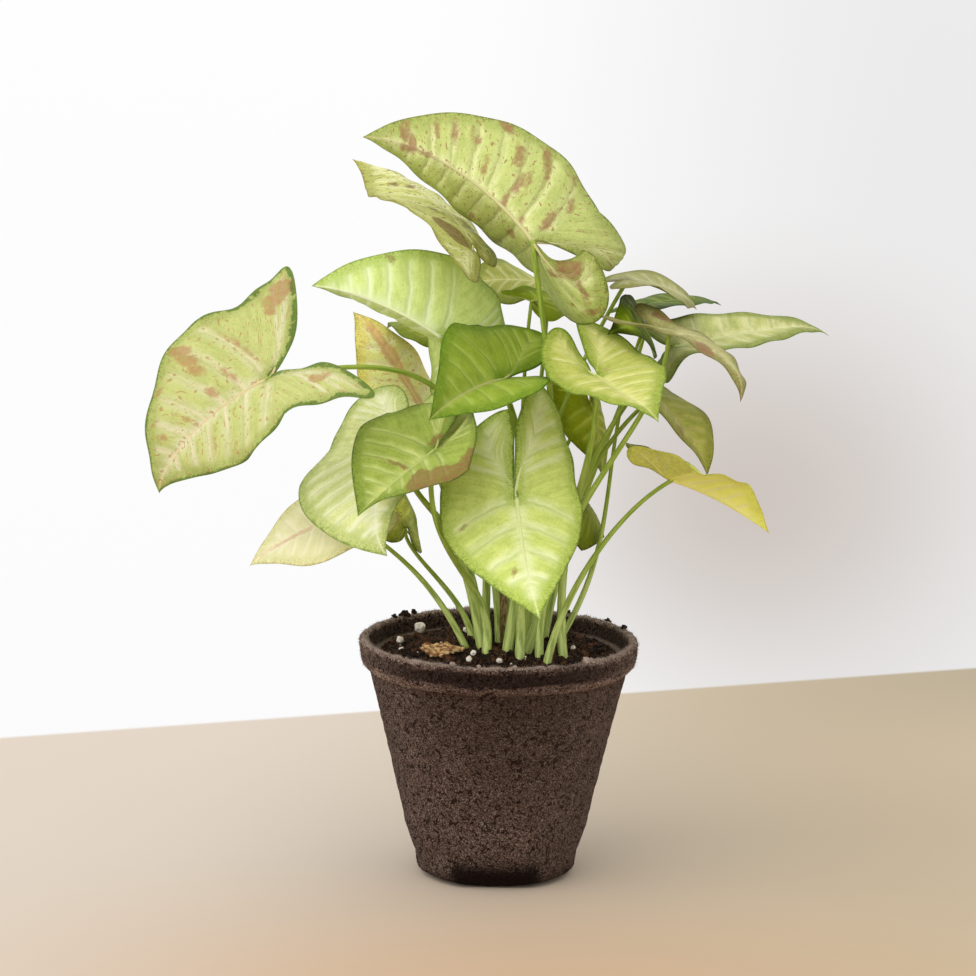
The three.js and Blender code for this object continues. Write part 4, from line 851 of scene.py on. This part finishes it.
def unit(vector):
    return vector / np.linalg.norm(vector)


def turned_by(first, second, angle):
    """A direction turned by an angle in the plane of two directions."""
    return first * math.cos(angle) + second * math.sin(angle)


def aim_of(leaf):
    """The directions across, along and out of the blade at the joint."""
    heading, rise, roll = (math.radians(leaf[key]) for key in ("heading", "rise", "roll"))
    along = np.array([
        math.cos(heading) * math.cos(rise), math.sin(heading) * math.cos(rise), math.sin(rise)])
    level = np.array([math.sin(heading), -math.cos(heading), 0.0])
    above = np.cross(level, along)
    return turned_by(level, -above, roll), along, turned_by(above, level, roll)


def spine_of(leaf, forward, half=0):
    """Stations along the midrib, to the tip or back under a lobe: place, across and out at each."""
    across, along, out = aim_of(leaf)
    length = leaf["length"] if forward else max(leaf["lobe_back"])
    step = (length if forward else -length) / SPINE_STEPS
    stations = [(np.array(leaf["joint"], float), across, out)]
    for i in range(SPINE_STEPS):
        s = (i + 0.5) / SPINE_STEPS
        pitch, sweep, twist = math.radians(leaf["lobe_droop"][half]) * s, 0, 0
        if forward:
            droop = math.radians(leaf["droop"]) * max(0, (s - 0.6) / 0.4) ** 2
            pitch = -math.radians(leaf["arch"]) * s - droop
            sweep, twist = math.radians(leaf["sweep"]) * s, math.radians(leaf["twist"]) * s
        ahead, aside = turned_by(along, across, sweep), turned_by(across, along, -sweep)
        tangent, normal = turned_by(ahead, out, pitch), turned_by(out, ahead, -pitch)
        stations.append((stations[-1][0] + tangent * step, turned_by(aside, normal, -twist),
                         turned_by(normal, aside, twist)))
    return length, [np.array([station[k] for station in stations]) for k in range(3)]


def at_distance(spine, distance):
    """Place, across and out on the spine at each of these distances from the joint."""
    length, stations = spine
    stops = np.linspace(0, length, SPINE_STEPS + 1)
    return [np.stack([np.interp(distance, stops, line[:, k]) for k in range(3)], -1) for line in stations]


def edges_of(leaf, half, y):
    """Inner and outer edge of a half blade at the distances y ahead of the joint, or behind it."""
    y = np.asarray(y, float)
    width, back = leaf["half_width"][half], leaf["lobe_back"][half]
    ahead = np.clip((y - leaf["widest"]) / (leaf["length"] - leaf["widest"]), 0, 1)
    waist = 1 - WAIST * np.exp(-((y + 0.12 * back) / (0.22 * leaf["length"])) ** 2)
    behind = np.clip(-y / back, 0, 1)
    centre = width / 2 + (leaf["lobe_out"][half] - width / 2) * behind ** leaf["notch"][half]
    reach = width / 2 * np.sqrt(np.clip(1 - behind ** leaf["blunt"][half], 0, 1))
    lap = abs(leaf["lap"][half])
    inner = np.where(y < 0, np.maximum(centre - reach, -lap * np.sin(math.pi * behind ** 0.7)), 0)
    tapered = width * (1 - ahead ** 1.55) ** 1.2 * waist
    outer = np.where(y < 0, inner + (centre + reach - inner) * waist, tapered)
    gap = np.where(y < 0, (lap == 0) * NOTCH_GAP * np.minimum(1, 6 * behind), 0)
    return np.minimum(inner + gap, outer), outer


def blade_places(leaf, spines, half, x, y):
    """Points of the blade: x across from the midrib (never negative), y along it."""
    ahead, behind = np.clip(y / leaf["length"], 0, 1), np.clip(-y / leaf["lobe_back"][half], 0, 1)
    front, rear = at_distance(spines[0], np.maximum(y, 0)), at_distance(spines[1 + half], np.maximum(-y, 0))
    place, across, out = (np.where((y >= 0)[:, None], a, b) for a, b in zip(front, rear))
    across /= np.linalg.norm(across, axis=1, keepdims=True)
    out /= np.linalg.norm(out, axis=1, keepdims=True)
    base, tip = leaf["fold_base"][half], leaf["fold_tip"][half]
    fold = np.radians(base * (1 - ahead) + tip * ahead + leaf["fold_lobe"][half] * behind)
    bend = math.radians(leaf["curl"][half] or 0.01) / leaf["half_width"][half]
    reach = (np.sin(fold + bend * x) - np.sin(fold)) / bend
    lift = (np.cos(fold) - np.cos(fold + bend * x)) / bend
    side = -1 if half == 0 else 1
    lift = lift + np.sign(leaf["lap"][half]) * 0.9 * np.clip(1 - x / 9, 0, 1) * np.minimum(1, 4 * behind)
    return place + across * (side * reach)[:, None] + out * lift[:, None]


def blade_grid(leaf):
    """The blade's flat mesh: the half, x and y of each point, and the faces, seen from above."""
    rows = max(16, round(leaf["length"] / CELL))
    columns = max(8, round(max(leaf["half_width"]) / CELL))
    flat, faces = [], []

    def row_of(half, y, steps):
        inner, outer = edges_of(leaf, half, y)
        first = len(flat)
        flat.extend((half, inner + (outer - inner) * k / columns, y) for k in steps)
        return list(range(first, len(flat)))

    ahead = []
    for i in range(rows):
        y = leaf["length"] * (1 - (1 - i / rows) ** TIP_CROWDING)
        left = row_of(0, y, range(columns, 0, -1))
        ahead.append(left + row_of(1, y, range(columns + 1)))
    tip = row_of(1, leaf["length"], [0])[0]
    for low, high in zip(ahead[:-1], ahead[1:]):
        faces += [(low[k], low[k + 1], high[k + 1], high[k]) for k in range(2 * columns)]
    faces += [(ahead[-1][k], ahead[-1][k + 1], tip) for k in range(2 * columns)]
    for half in (0, 1):
        above = ahead[0][columns::-1] if half == 0 else ahead[0][columns:]
        count = max(8, round(leaf["lobe_back"][half] / CELL))
        for i in range(1, count + 1):
            y = -leaf["lobe_back"][half] * (1 - (1 - i / count) ** LOBE_CROWDING)
            last = i == count
            below = row_of(half, y, [columns] if last else range(columns + 1))
            for k in range(columns):
                p, q = (k + 1, k) if half == 0 else (k, k + 1)
                if last:
                    faces.append((below[0], above[q], above[p]))
                else:
                    faces.append((below[p], below[q], above[q], above[p]))
            above = below
    return np.array(flat), faces


def margin_distance(leaf, half, x, y):
    """How far each point lies from the margin of its half blade."""
    ahead = np.linspace(leaf["length"], 0, 90)
    behind = -leaf["lobe_back"][half] * (1 - (1 - np.linspace(0, 1, 60)) ** LOBE_CROWDING)
    outer = np.concatenate([ahead, behind[1:]])
    line = np.concatenate([
        np.stack([edges_of(leaf, half, outer)[1], outer], 1),
        np.stack([edges_of(leaf, half, behind[::-1])[0], behind[::-1]], 1)])
    nearest = np.full(len(x), 1e9)
    for (ax, ay), (bx, by) in zip(line[:-1], line[1:]):
        dx, dy = bx - ax, by - ay
        t = np.clip(((x - ax) * dx + (y - ay) * dy) / (dx * dx + dy * dy + 1e-9), 0, 1)
        nearest = np.minimum(nearest, np.hypot(x - ax - t * dx, y - ay - t * dy))
    return nearest


def vein_root(leaf, x, y):
    """Where on the midrib the side vein through each point leaves it."""
    return (y - LATERAL_SLOPE * x - LATERAL_CURVE * x * x) / (1 + LATERAL_FAN * x / leaf["length"])


def eased(value, low, high):
    t = np.clip((value - low) / (high - low), 0, 1)
    return t * t * (3 - 2 * t)


def lobe_rib(leaf, half, y):
    """How far across the lobe's rib runs, at the distances y, which are below zero in the lobe."""
    inner, outer = edges_of(leaf, half, np.minimum(y, 0))
    return inner + (outer - inner) * LOBE_RIB * eased(-y / leaf["lobe_back"][half], 0, 0.8)


def vein_phases(leaf, half, x, y):
    """Counts of the side veins ahead and in the lobe, whole numbers on a vein, and the rib's distance."""
    spacing = leaf["length"] / leaf["laterals"]
    beside = x - lobe_rib(leaf, half, y)
    outward = -y - 0.9 * beside + 0.012 * beside * beside
    inward = -y + 2.5 * beside
    return vein_root(leaf, x, y) / spacing, np.where(beside > 0, outward, inward) / (0.85 * spacing), beside


def blade_relief(leaf, half, x, y, phases, margin):
    """How far the flesh stands out: quilted between the veins, sunk along the ribs, waved at the margin."""
    ahead, lobe, beside = phases
    swell = np.abs(np.sin(math.pi * np.where(ahead > 0, ahead, np.maximum(lobe, 0))))
    quilt = leaf["quilt"] * swell ** 0.7 * eased(margin, 0.5, 6) * eased(x, 0.5, 6)
    groove = -0.5 * np.exp(-(x / 1.2) ** 2) * eased(y, 0, 5) * (1 - np.clip(y / leaf["length"], 0, 1))
    lobe_groove = -0.3 * np.exp(-(beside / 1.2) ** 2) * eased(-y, 1, 5)
    ripple = np.sin(2 * math.pi * y / 21 + 1.9 * half + leaf["heading"])
    wave = leaf["wave"] * (1 - np.clip(margin / 9, 0, 1)) ** 2 * ripple * eased(leaf["length"] - y, 3, 15)
    return quilt + groove + lobe_groove + wave


def tube(path, radii, sides, groove=None):
    """A closed tube along a path, with a radius at each step and, if given, a groove along one side."""
    path = np.asarray(path)
    aheads = [unit(path[min(i + 1, len(path) - 1)] - path[max(i - 1, 0)]) for i in range(len(path))]
    across = unit(np.array([1.0, 0.1, 0.0]) - aheads[0] * aheads[0][0])
    points, faces = [], []
    for i, (centre, ahead, radius) in enumerate(zip(path, aheads, radii)):
        across = unit(across - ahead * across.dot(ahead))
        other = np.cross(ahead, across)
        for k in range(sides):
            angle = 2 * math.pi * k / sides
            dent = 0 if groove is None else groove[i] * math.exp(-((angle - math.pi) / 0.55) ** 2)
            outward = across * math.cos(angle) + other * math.sin(angle)
            points.append(centre + outward * radius * (1 - dent))
    for i in range(len(path) - 1):
        low = i * sides
        faces += [(low + k, low + (k + 1) % sides, low + sides + (k + 1) % sides, low + sides + k)
                  for k in range(sides)]
    top = (len(path) - 1) * sides
    faces += [tuple(range(sides - 1, -1, -1)), tuple(range(top, top + sides))]
    return np.array(points), faces


def stalk_path(leaf):
    """A stalk's middle line, from inside the peat to the joint, and the share climbed at each step."""
    _, along, out = aim_of(leaf)
    foot = np.array([*leaf["foot"], soil_height(*leaf["foot"])])
    joint = np.array(leaf["joint"], float)
    rise = unit(np.array([*leaf["lean"], 1.0]))
    arrival = unit(np.array([0, 0, -leaf["down"]]) - out * leaf["under"] - along * leaf["back"])
    span = np.linalg.norm(joint - foot)
    bend = [foot, foot + rise * leaf["lift"] * span, joint + arrival * leaf["reach"] * span, joint]
    shares = np.linspace(0, 0.995, STALK_STEPS)
    curve = [sum(point * weight for point, weight in zip(
        bend, ((1 - t) ** 3, 3 * t * (1 - t) ** 2, 3 * t * t * (1 - t), t ** 3))) for t in shares]
    return np.array([foot - rise * STALK_DEPTH, *curve, joint + along * 1.4]), np.array([0, *shares, 1])


def spot_depth(leaf, half, x, y):
    """How far inside the nearest of the leaf's spots each point lies, below zero outside them."""
    signed = x if half else -x
    depth = np.full(len(x), NO_SPOT)
    for across, along, wide, long in leaf["spots"]:
        rise = vein_root(leaf, x, y) - vein_root(leaf, abs(across), along) if along > 0 else y - along
        off = np.hypot((signed - across) / wide, rise / long)
        depth = np.maximum(depth, (1 - off) * min(wide, long))
    return depth


def blade_ribs(leaf, spines):
    """The raised ribs under the blade, as tubes: the midrib and one in each lobe."""
    top = leaf["thick"] * STALK_TOP_RADIUS
    lines = [(1, np.zeros(40), np.linspace(-0.5, RIB_REACH * leaf["length"], 40), 0.85 * top)]
    for half in (0, 1):
        behind = -np.linspace(0.5, LOBE_RIB_REACH * leaf["lobe_back"][half], 24)
        lines.append((half, lobe_rib(leaf, half, behind), behind, 0.6 * top))
    ribs = []
    for half, x, y, radius in lines:
        line = blade_places(leaf, spines, half, x, y)
        beside = blade_places(leaf, spines, half, x + 0.5, y)
        below = np.cross(np.gradient(line, axis=0), beside - line)
        below /= np.linalg.norm(below, axis=1, keepdims=True) + 1e-9
        if below[0].dot(aim_of(leaf)[2]) > 0:
            below = -below
        ribs.append(tube(line + below * BLADE_THICKNESS, radius * np.linspace(1, 0.25, len(y)), RIB_SIDES))
    return ribs


def leaf_mesh(leaf):
    """One leaf: the blade as a closed thin sheet, its ribs raised underneath, and its stalk."""
    spines = spine_of(leaf, True), spine_of(leaf, False, 0), spine_of(leaf, False, 1)
    flat, faces = blade_grid(leaf)
    count = len(flat)
    middle = np.zeros((count, 3))
    veins, marks = np.zeros((count, 3)), np.zeros((count, 3))
    relief = np.zeros(count)
    for half in (0, 1):
        own = flat[:, 0] == half
        x, y = flat[own, 1], flat[own, 2]
        middle[own] = blade_places(leaf, spines, half, x, y)
        margin = margin_distance(leaf, half, x, y)
        phases = vein_phases(leaf, half, x, y)
        relief[own] = blade_relief(leaf, half, x, y, phases, margin)
        veins[own] = np.stack([phases[0], phases[1], margin], 1)
        marks[own] = np.stack([phases[2], spot_depth(leaf, half, x, y), ABOVE + 0 * x], 1)
    normals = sheet_normals(middle, faces)
    middle = middle + normals * relief[:, None]
    normals = sheet_normals(middle, faces)
    thick = BLADE_THICKNESS / 2 * (0.35 + 0.65 * eased(veins[:, 2], 0, 1.5))[:, None]
    under = marks + np.array([0, 0, BELOW - ABOVE])
    signed = np.where(flat[:, 0] == 1, flat[:, 1], -flat[:, 1])
    plan = np.stack([signed, flat[:, 2]], 1)
    points = [middle + normals * thick, middle - normals * thick]
    places = [plan, plan]
    fields = [veins, veins]
    signs = [marks, under]
    whole = list(faces) + [tuple(i + count for i in reversed(face)) for face in faces]
    whole += rim_faces(faces, count)
    parts = [(rib, ON_RIB) for rib in blade_ribs(leaf, spines)]
    path, shares = stalk_path(leaf)
    radii = leaf["thick"] * (STALK_TOP_RADIUS + STALK_FLARE * (1 - shares) ** 2)
    radii[-1] = 0.4
    groove = 0.34 * (1 - shares) ** 0.8
    parts.append((tube(path, radii, STALK_SIDES, groove), ON_STALK))
    for (ring, skin), side in parts:
        first = sum(len(p) for p in points)
        around = len(ring)
        if side == ON_STALK:
            gone = np.repeat(shares, STALK_SIDES) * FLAT_SPAN
            places.append(np.stack([np.tile(np.arange(STALK_SIDES), len(path)) * 0.4, gone], 1))
        else:
            places.append(np.zeros((around, 2)))
        points.append(ring)
        fields.append(np.tile([NO_SPOT, NO_SPOT, FAR_OFF], (around, 1)))
        signs.append(np.tile([FAR_OFF, NO_SPOT, side], (around, 1)))
        whole += [tuple(i + first for i in face) for face in skin]
    piece = mesh_piece(leaf["node"].replace("leaf_", "grown_"), np.vstack(points), whole)
    mesh = piece.data
    for name, values in (("veins", fields), ("marks", signs)):
        field = mesh.attributes.new(name, "FLOAT_VECTOR", "POINT")
        field.data.foreach_set("vector", np.vstack(values).ravel())
    corners = np.empty(len(mesh.loops), int)
    mesh.loops.foreach_get("vertex_index", corners)
    flat_map = (np.vstack(places)[corners] / FLAT_SPAN).ravel()
    mesh.uv_layers.new(name="flat").data.foreach_set("uv", flat_map)
    return piece


def sheet_normals(points, faces):
    normals = np.zeros_like(points)
    corners = np.array([(face[0], face[1], face[2], face[-1]) for face in faces])
    a, b, c, d = (points[corners[:, k]] for k in range(4))
    areas = np.cross(c - a, d - b)
    short = corners[:, 2] == corners[:, 3]
    areas[short] = np.cross(b[short] - a[short], c[short] - a[short])
    for k in range(4):
        np.add.at(normals, corners[:, k], areas)
    return normals / (np.linalg.norm(normals, axis=1, keepdims=True) + 1e-12)


def rim_faces(faces, count):
    """The narrow wall that joins the upper and the lower face of a sheet all round its edge."""
    open_edges = {}
    for face in faces:
        for first, second in zip(face, (*face[1:], face[0])):
            if (second, first) in open_edges:
                del open_edges[second, first]
            else:
                open_edges[first, second] = True
    return [(first, first + count, second + count, second) for first, second in open_edges]


def vein_group():
    """Masks of a blade from its flat place and its vein fields, all in millimetres."""
    tree, given, result = new_group("blade_veins", {
        "Flat": None, "Veins": None, "Marks": None, "Length": 60.0, "Spacing": 9.0, "Lobe": 25.0,
        "Rib": 0.8, "Specks": 0.2, "Edge": 0.0,
    }, ("Rib", "Vein", "Halo", "Margin", "Net", "Mottle", "Streak", "Band", "Stipple", "CreaseShade", "Blot"))
    flat = follow("ShaderNodeVectorMath", {0: given["Flat"], 3: FLAT_SPAN}, operation="SCALE").outputs[0]
    x, y, _ = split(flat)
    ahead, lobe, margin = split(given["Veins"])
    beside, blot, _ = split(given["Marks"])
    spacing, specks = given["Spacing"], given["Specks"]

    def cloud(size, detail, place=flat):
        return cloudy(place, 1 / size, detail, Roughness=0.62)

    # the pale ribs: the midrib, and one that curves into each lobe
    soft, fine, coarse = cloud(7.0, 2.0), cloud(0.75, 4.0), cloud(2.6, 3.0)
    across, aside = unsigned(x), unsigned(beside)
    reach = over(y, given["Length"])
    width = times(given["Rib"], scaled(reach, -0.85, 1.0))
    mid = times(ease(minus(across, width), 0.75, -0.35), ease(y, -1.5, -0.3))
    lobe_width = times(given["Rib"], scaled(over(y, given["Lobe"]), 0.6, 0.5))
    lobe_rib = times(ease(minus(aside, lobe_width), 0.6, -0.2), ease(y, 0.5, -0.8, 0.0, 0.42))
    rib = most(mid, lobe_rib)
    nearest_rib = sum_up("MINIMUM", across, scaled(ease(y, -0.8, 0.5), 30.0, aside))

    # side veins: their distance from the counted phases, and a grain drawn out along them
    wander = scaled(soft, 0.3, -0.15)

    def lateral(phase):
        gone = sum_up("FRACT", plus(plus(phase, wander), 0.5))
        return times(unsigned(minus(gone, 0.5)), spacing)

    front = ease(ahead, -0.42, -0.25)
    rear = times(minus(1.0, front), ease(lobe, 0.15, 0.4))
    phase = scaled(front, minus(ahead, lobe), lobe)
    drawn = joined(times(phase, spacing), times(nearest_rib, 0.16), times(front, 40.0))
    streak = cloud(3.2, 4.0, drawn)
    off_front, off_rear = lateral(ahead), lateral(lobe)
    far = ease(nearest_rib, 3.0, 24.0)
    ends = ease(margin, COLLECTING_VEIN - 1.5, COLLECTING_VEIN + 1.0)
    slim = scaled(far, -0.14, 0.22)
    fading = scaled(far, -0.55, 1.0)

    def line(distance, share):
        return times(ease(minus(distance, slim), 1.25, -0.3), share, ends, fading)

    loop = times(ease(unsigned(minus(scaled(soft, 3.0, margin), COLLECTING_VEIN + 1.5)), 0.8, 0.0), 0.2)
    vein = most(line(off_front, front), line(off_rear, rear), loop)
    vein = times(vein, scaled(fine, 1.0, 0.5, clamp=True))
    # painted shade: a dark band along one side of each side vein, in the crease of the quilted flesh
    gone = sum_up("FRACT", plus(ahead, wander))
    crease_shade = times(ease(gone, 0.0, 0.035), ease(gone, 0.30, 0.04), front, ends, ease(across, 0.5, 4.0))

    # pale flesh beside the veins, broken up by the grain
    def glow(distance, share):
        return times(ease(distance, times(spacing, 0.40), 0.0), share)

    halo = times(most(glow(off_front, front), glow(off_rear, rear)), ends, scaled(far, -0.35, 1.0))
    halo = most(halo, ease(nearest_rib, 6.0, 0.0))
    inside = times(ease(scaled(coarse, 4.0, margin), 3.0, 9.0), ease(reach, 1.0, 0.72, 0.4, 1.0))
    halo = times(halo, inside, ease(scaled(fine, 0.4, streak), 0.50, 0.85, 0.3, 1.0))

    # green fleck: fine everywhere, drawn out between the side veins, dense along the margin
    cells = follow("ShaderNodeTexVoronoi", {"Vector": flat, "Scale": 0.42},
                   feature="DISTANCE_TO_EDGE").outputs[0]
    net = times(ease(cells, 0.10, 0.0), ease(margin, 1.0, 3.0))
    ragged = scaled(coarse, 1.8, scaled(fine, 1.4, -1.4))
    ragged = scaled(given["Edge"], times(ease(soft, 0.3, 0.62), ease(y, 14.0, -6.0, 0.3, 1.0)), ragged)
    dots = times(ease(margin, 5.5, 0.5), ease(fine, 0.46, 0.58), ease(coarse, 0.38, 0.52))
    band = times(ease(margin, 7.5, 0.8), ease(fine, 0.40, 0.60), ease(coarse, 0.38, 0.56))
    fleck = times(ease(fine, 0.46, 0.64), ease(coarse, 0.36, 0.62, 0.25, 1.0))
    lime = scaled(soft, -6.0, plus(margin, ease(reach, 0.6, 0.92, 0.0, -6.0)))
    lime = times(ease(scaled(coarse, -4.0, lime), 3.0, -2.5), scaled(rib, -1.0, 1.0))

    # brown marks: the leaf's own spots with torn edges, and flecks drawn out along the side veins
    torn = scaled(fine, 1.2, minus(scaled(coarse, 3.6, minus(blot, 1.6)), 0.6))
    small = follow("ShaderNodeVectorMath", {0: drawn, 1: (0.72, 2.6, 1.0)}, operation="MULTIPLY").outputs[0]
    chip = minus(cloudy(small, 1.0, 1.5), scaled(specks, -0.15, 0.735))
    flecks = times(ease(chip, 0.0, 0.035), ease(soft, 0.40, 0.56), ease(specks, 0.0, 0.25))
    dust = times(ease(cloud(1.1, 1.0), 0.66, 0.70), ease(soft, 0.56, 0.46), ease(specks, 0.0, 0.6))
    fill(result, {
        "Rib": rib, "Vein": vein, "Halo": halo, "Net": net, "Band": lime, "Stipple": dots, "CreaseShade": crease_shade,
        "Margin": ease(minus(margin, ragged), 0.85, -0.3),
        "Mottle": most(band, times(fleck, scaled(halo, -0.55, 0.9))),
        "Streak": ease(scaled(soft, 0.5, streak), 0.86, 0.60),
        "Blot": most(ease(torn, -0.8, 1.0), flecks, dust),
    })
    return tree


VEINS = vein_group()


def leaf_material(leaf):
    """Satin leaf flesh: pale along the veins, flecked, darker at the margin, with painted shade in its
    creases and the leaf's own spots.
    """
    material, shader, _ = plain_material(leaf["node"].replace("leaf_", "flesh_"), 0.5)
    tree = material.node_tree
    flat = put(tree, "ShaderNodeUVMap", uv_map="flat").outputs[0]
    veins = put(tree, "ShaderNodeAttribute", attribute_name="veins").outputs["Vector"]
    marks = put(tree, "ShaderNodeAttribute", attribute_name="marks").outputs["Vector"]
    mask = follow("ShaderNodeGroup", {
        "Flat": flat, "Veins": veins, "Marks": marks, "Length": leaf["length"],
        "Spacing": leaf["length"] / leaf["laterals"], "Lobe": max(leaf["lobe_back"]),
        "Rib": 0.15 + 0.0045 * leaf["length"], "Specks": leaf["specks"], "Edge": leaf["edge"],
    }, node_tree=VEINS).outputs
    deep, flesh, pale = (tint(code) for code in leaf["tones"])
    vein, rib, rim, blot = (tint(leaf[key]) for key in ("vein", "rib", "rim", "blot"))
    # the crease layer is painted shade, as strong as the leaf's quilting
    layers = (("Streak", 0.42, deep), ("Band", 0.6, deep), ("Halo", 0.85, pale), ("Mottle", 0.5, deep),
              ("Stipple", 0.5, rim), ("Net", 0.08, pale), ("CreaseShade", 0.55 * leaf["quilt"], deep),
              ("Vein", 0.26, vein), ("Rib", 0.52, rib))
    skin = flesh
    for name, share, tone in layers:
        skin = blend(times(mask[name], share), skin, tone)
    uneven = ease(cloudy(flat, 0.5 * FLAT_SPAN, 4.0), 0.35, 0.65)
    brown = blend(0.45, blot, blend(uneven, blot, deep))
    skin = blend(times(mask["Blot"], 0.75), skin, brown)
    skin = blend(times(mask["Margin"], 0.75), skin, rim)
    side = split(marks)[2]
    back = blend(times(mask["Vein"], 0.5), flesh, pale)
    skin = blend(times(ease(side, ABOVE, BELOW), 0.45), skin, back)
    # the stalk and the ribs under the blade: fresh green, paler near the peat, faintly streaked
    streaks = cloudy(stretched(flat, (160, 9, 1)), 1.0, 3.0)
    stem = blend(ease(split(flat)[1], 0.0, 0.55), tint("cddb88"), tint("a0b44f"))
    stem = blend(times(ease(streaks, 0.42, 0.62), 0.65), stem, tint("718a2b"))
    skin = blend(ease(side, BELOW, ON_RIB), skin, [(a + b) / 2 for a, b in zip(flesh, rib)])
    skin = blend(ease(side, ON_RIB, ON_STALK), skin, stem)
    fill(shader, {"Base Color": skin, "Roughness": scaled(mask["Mottle"], 0.1, 0.54),
                  "Specular IOR Level": 0.08, "Subsurface Weight": 0.1, "Subsurface Scale": 1.0,
                  "Subsurface Radius": (0.0012, 0.0015, 0.0004)})
    bump(shader, scaled(mask["Streak"], 0.35, times(mask["Vein"], -1.0)), 0.4, 0.00035)
    return material


for own in LEAVES:
    leaf = {"rib": own["vein"], **USUAL, **own}
    dress(leaf_mesh(leaf), leaf_material(leaf), "leaf", leaf["node"])


# ==== Stage =========================================================================================
# Not part of the plant: a pale table that ends along a slanting line, near white beyond it, under a
# soft lamp high on the left and even light from all round. A long lens looks slightly down on it.
TABLE_SIZE = 14.0              # this section's sizes are in metres
TABLE_END = 0.2854             # distance of the table's end behind the pot
TABLE_TURN = (-0.3393, 0.9407)  # the direction square to that end
VIEW_PLACE = (0, -1.65, 0.482)
VIEW_PITCH, VIEW_YAW, VIEW_ROLL = 10.735, 0.187, 0.8
VIEW_LENS = 144.66


def stage_floor():
    mesh = bpy.data.meshes.new("floor")
    corners = [(x * TABLE_SIZE, y * TABLE_SIZE, 0) for x, y in ((-1, -1), (1, -1), (1, 1), (-1, 1))]
    mesh.from_pydata(corners, [], [(0, 1, 2, 3)])
    floor = bpy.data.objects.new("floor", mesh)
    bpy.context.scene.collection.objects.link(floor)
    material, shader, place = plain_material("floor", 0.85)
    x, y, _ = split(place)
    beyond = scaled(x, TABLE_TURN[0], times(y, TABLE_TURN[1]))
    share = ease(beyond, TABLE_END - 0.003, TABLE_END + 0.003)
    # painted shade: the table is painted darker to the right, with a warm painted shade in front of the pot
    # and a painted shadow at the far right
    table = blend(ease(x, -0.16, 0.2), tint("ccc0b3"), tint("b8a890"))
    warm_shade = times(ease(y, 0.05, -0.2), ease(unsigned(x), 0.32, 0.0), ease(y, -0.6, -0.35, 0.0, 0.7))
    table = blend(warm_shade, table, tint("c09b74"))
    far_right_shadow = times(ease(x, 0.02, 0.3), ease(beyond, 0.1, TABLE_END))
    table = blend(far_right_shadow, table, tint("a89b85"))
    # the pale part glows, a painted light; it is painted greyer to the right as painted shade, with a soft
    # painted shadow patch behind the plant's right side
    depth = minus(y, VIEW_PLACE[1])
    aside = over(x, depth)
    far = blend(ease(aside, -0.03, 0.11), tint("f9f9f9"), tint("e7e6e6"))
    off = joined(scaled(aside, 12.0, -0.78), scaled(over(VIEW_PLACE[2], depth), 14.0, -2.66))
    far = blend(ease(length_of(off), 1.1, 0.0), far, tint("cac1bb"))
    fill(shader, {"Base Color": blend(share, table, tint("000000")), "Emission Color": far,
                  "Emission Strength": share, "Specular IOR Level": 0.1})
    mesh.materials.append(material)


stage_floor()
lamp = bpy.data.lights.new("window", "SUN")
lamp.energy, lamp.angle, lamp.color = 1.3, math.radians(70), (1, 0.99, 0.96)
window = bpy.data.objects.new("window", lamp)
window.rotation_euler = Vector((0.58, 0.56, -0.60)).to_track_quat("-Z", "Y").to_euler()
bpy.context.scene.collection.objects.link(window)
world = bpy.data.worlds.new("studio")
world.use_nodes = True
fill(world.node_tree.nodes["Background"], {"Color": (1, 1, 1, 1), "Strength": 1.08})
bpy.context.scene.world = world
bpy.context.scene.view_settings.view_transform = "Standard"

pitch, yaw, roll = (math.radians(angle) for angle in (VIEW_PITCH, VIEW_YAW, VIEW_ROLL))
ahead = Vector((-math.sin(yaw) * math.cos(pitch), math.cos(yaw) * math.cos(pitch), -math.sin(pitch)))
level = Vector((math.cos(yaw), math.sin(yaw), 0))
upward = level.cross(ahead)
right = level * math.cos(roll) + upward * math.sin(roll)
upward = upward * math.cos(roll) - level * math.sin(roll)
lens = bpy.data.cameras.new("view")
lens.lens, lens.sensor_width = VIEW_LENS, 36
lens.clip_start, lens.clip_end = 0.05, 50
view = bpy.data.objects.new("view", lens)
view.matrix_world = Matrix((right, upward, -ahead)).transposed().to_4x4()
view.location = VIEW_PLACE
bpy.context.scene.collection.objects.link(view)
bpy.context.scene.camera = view
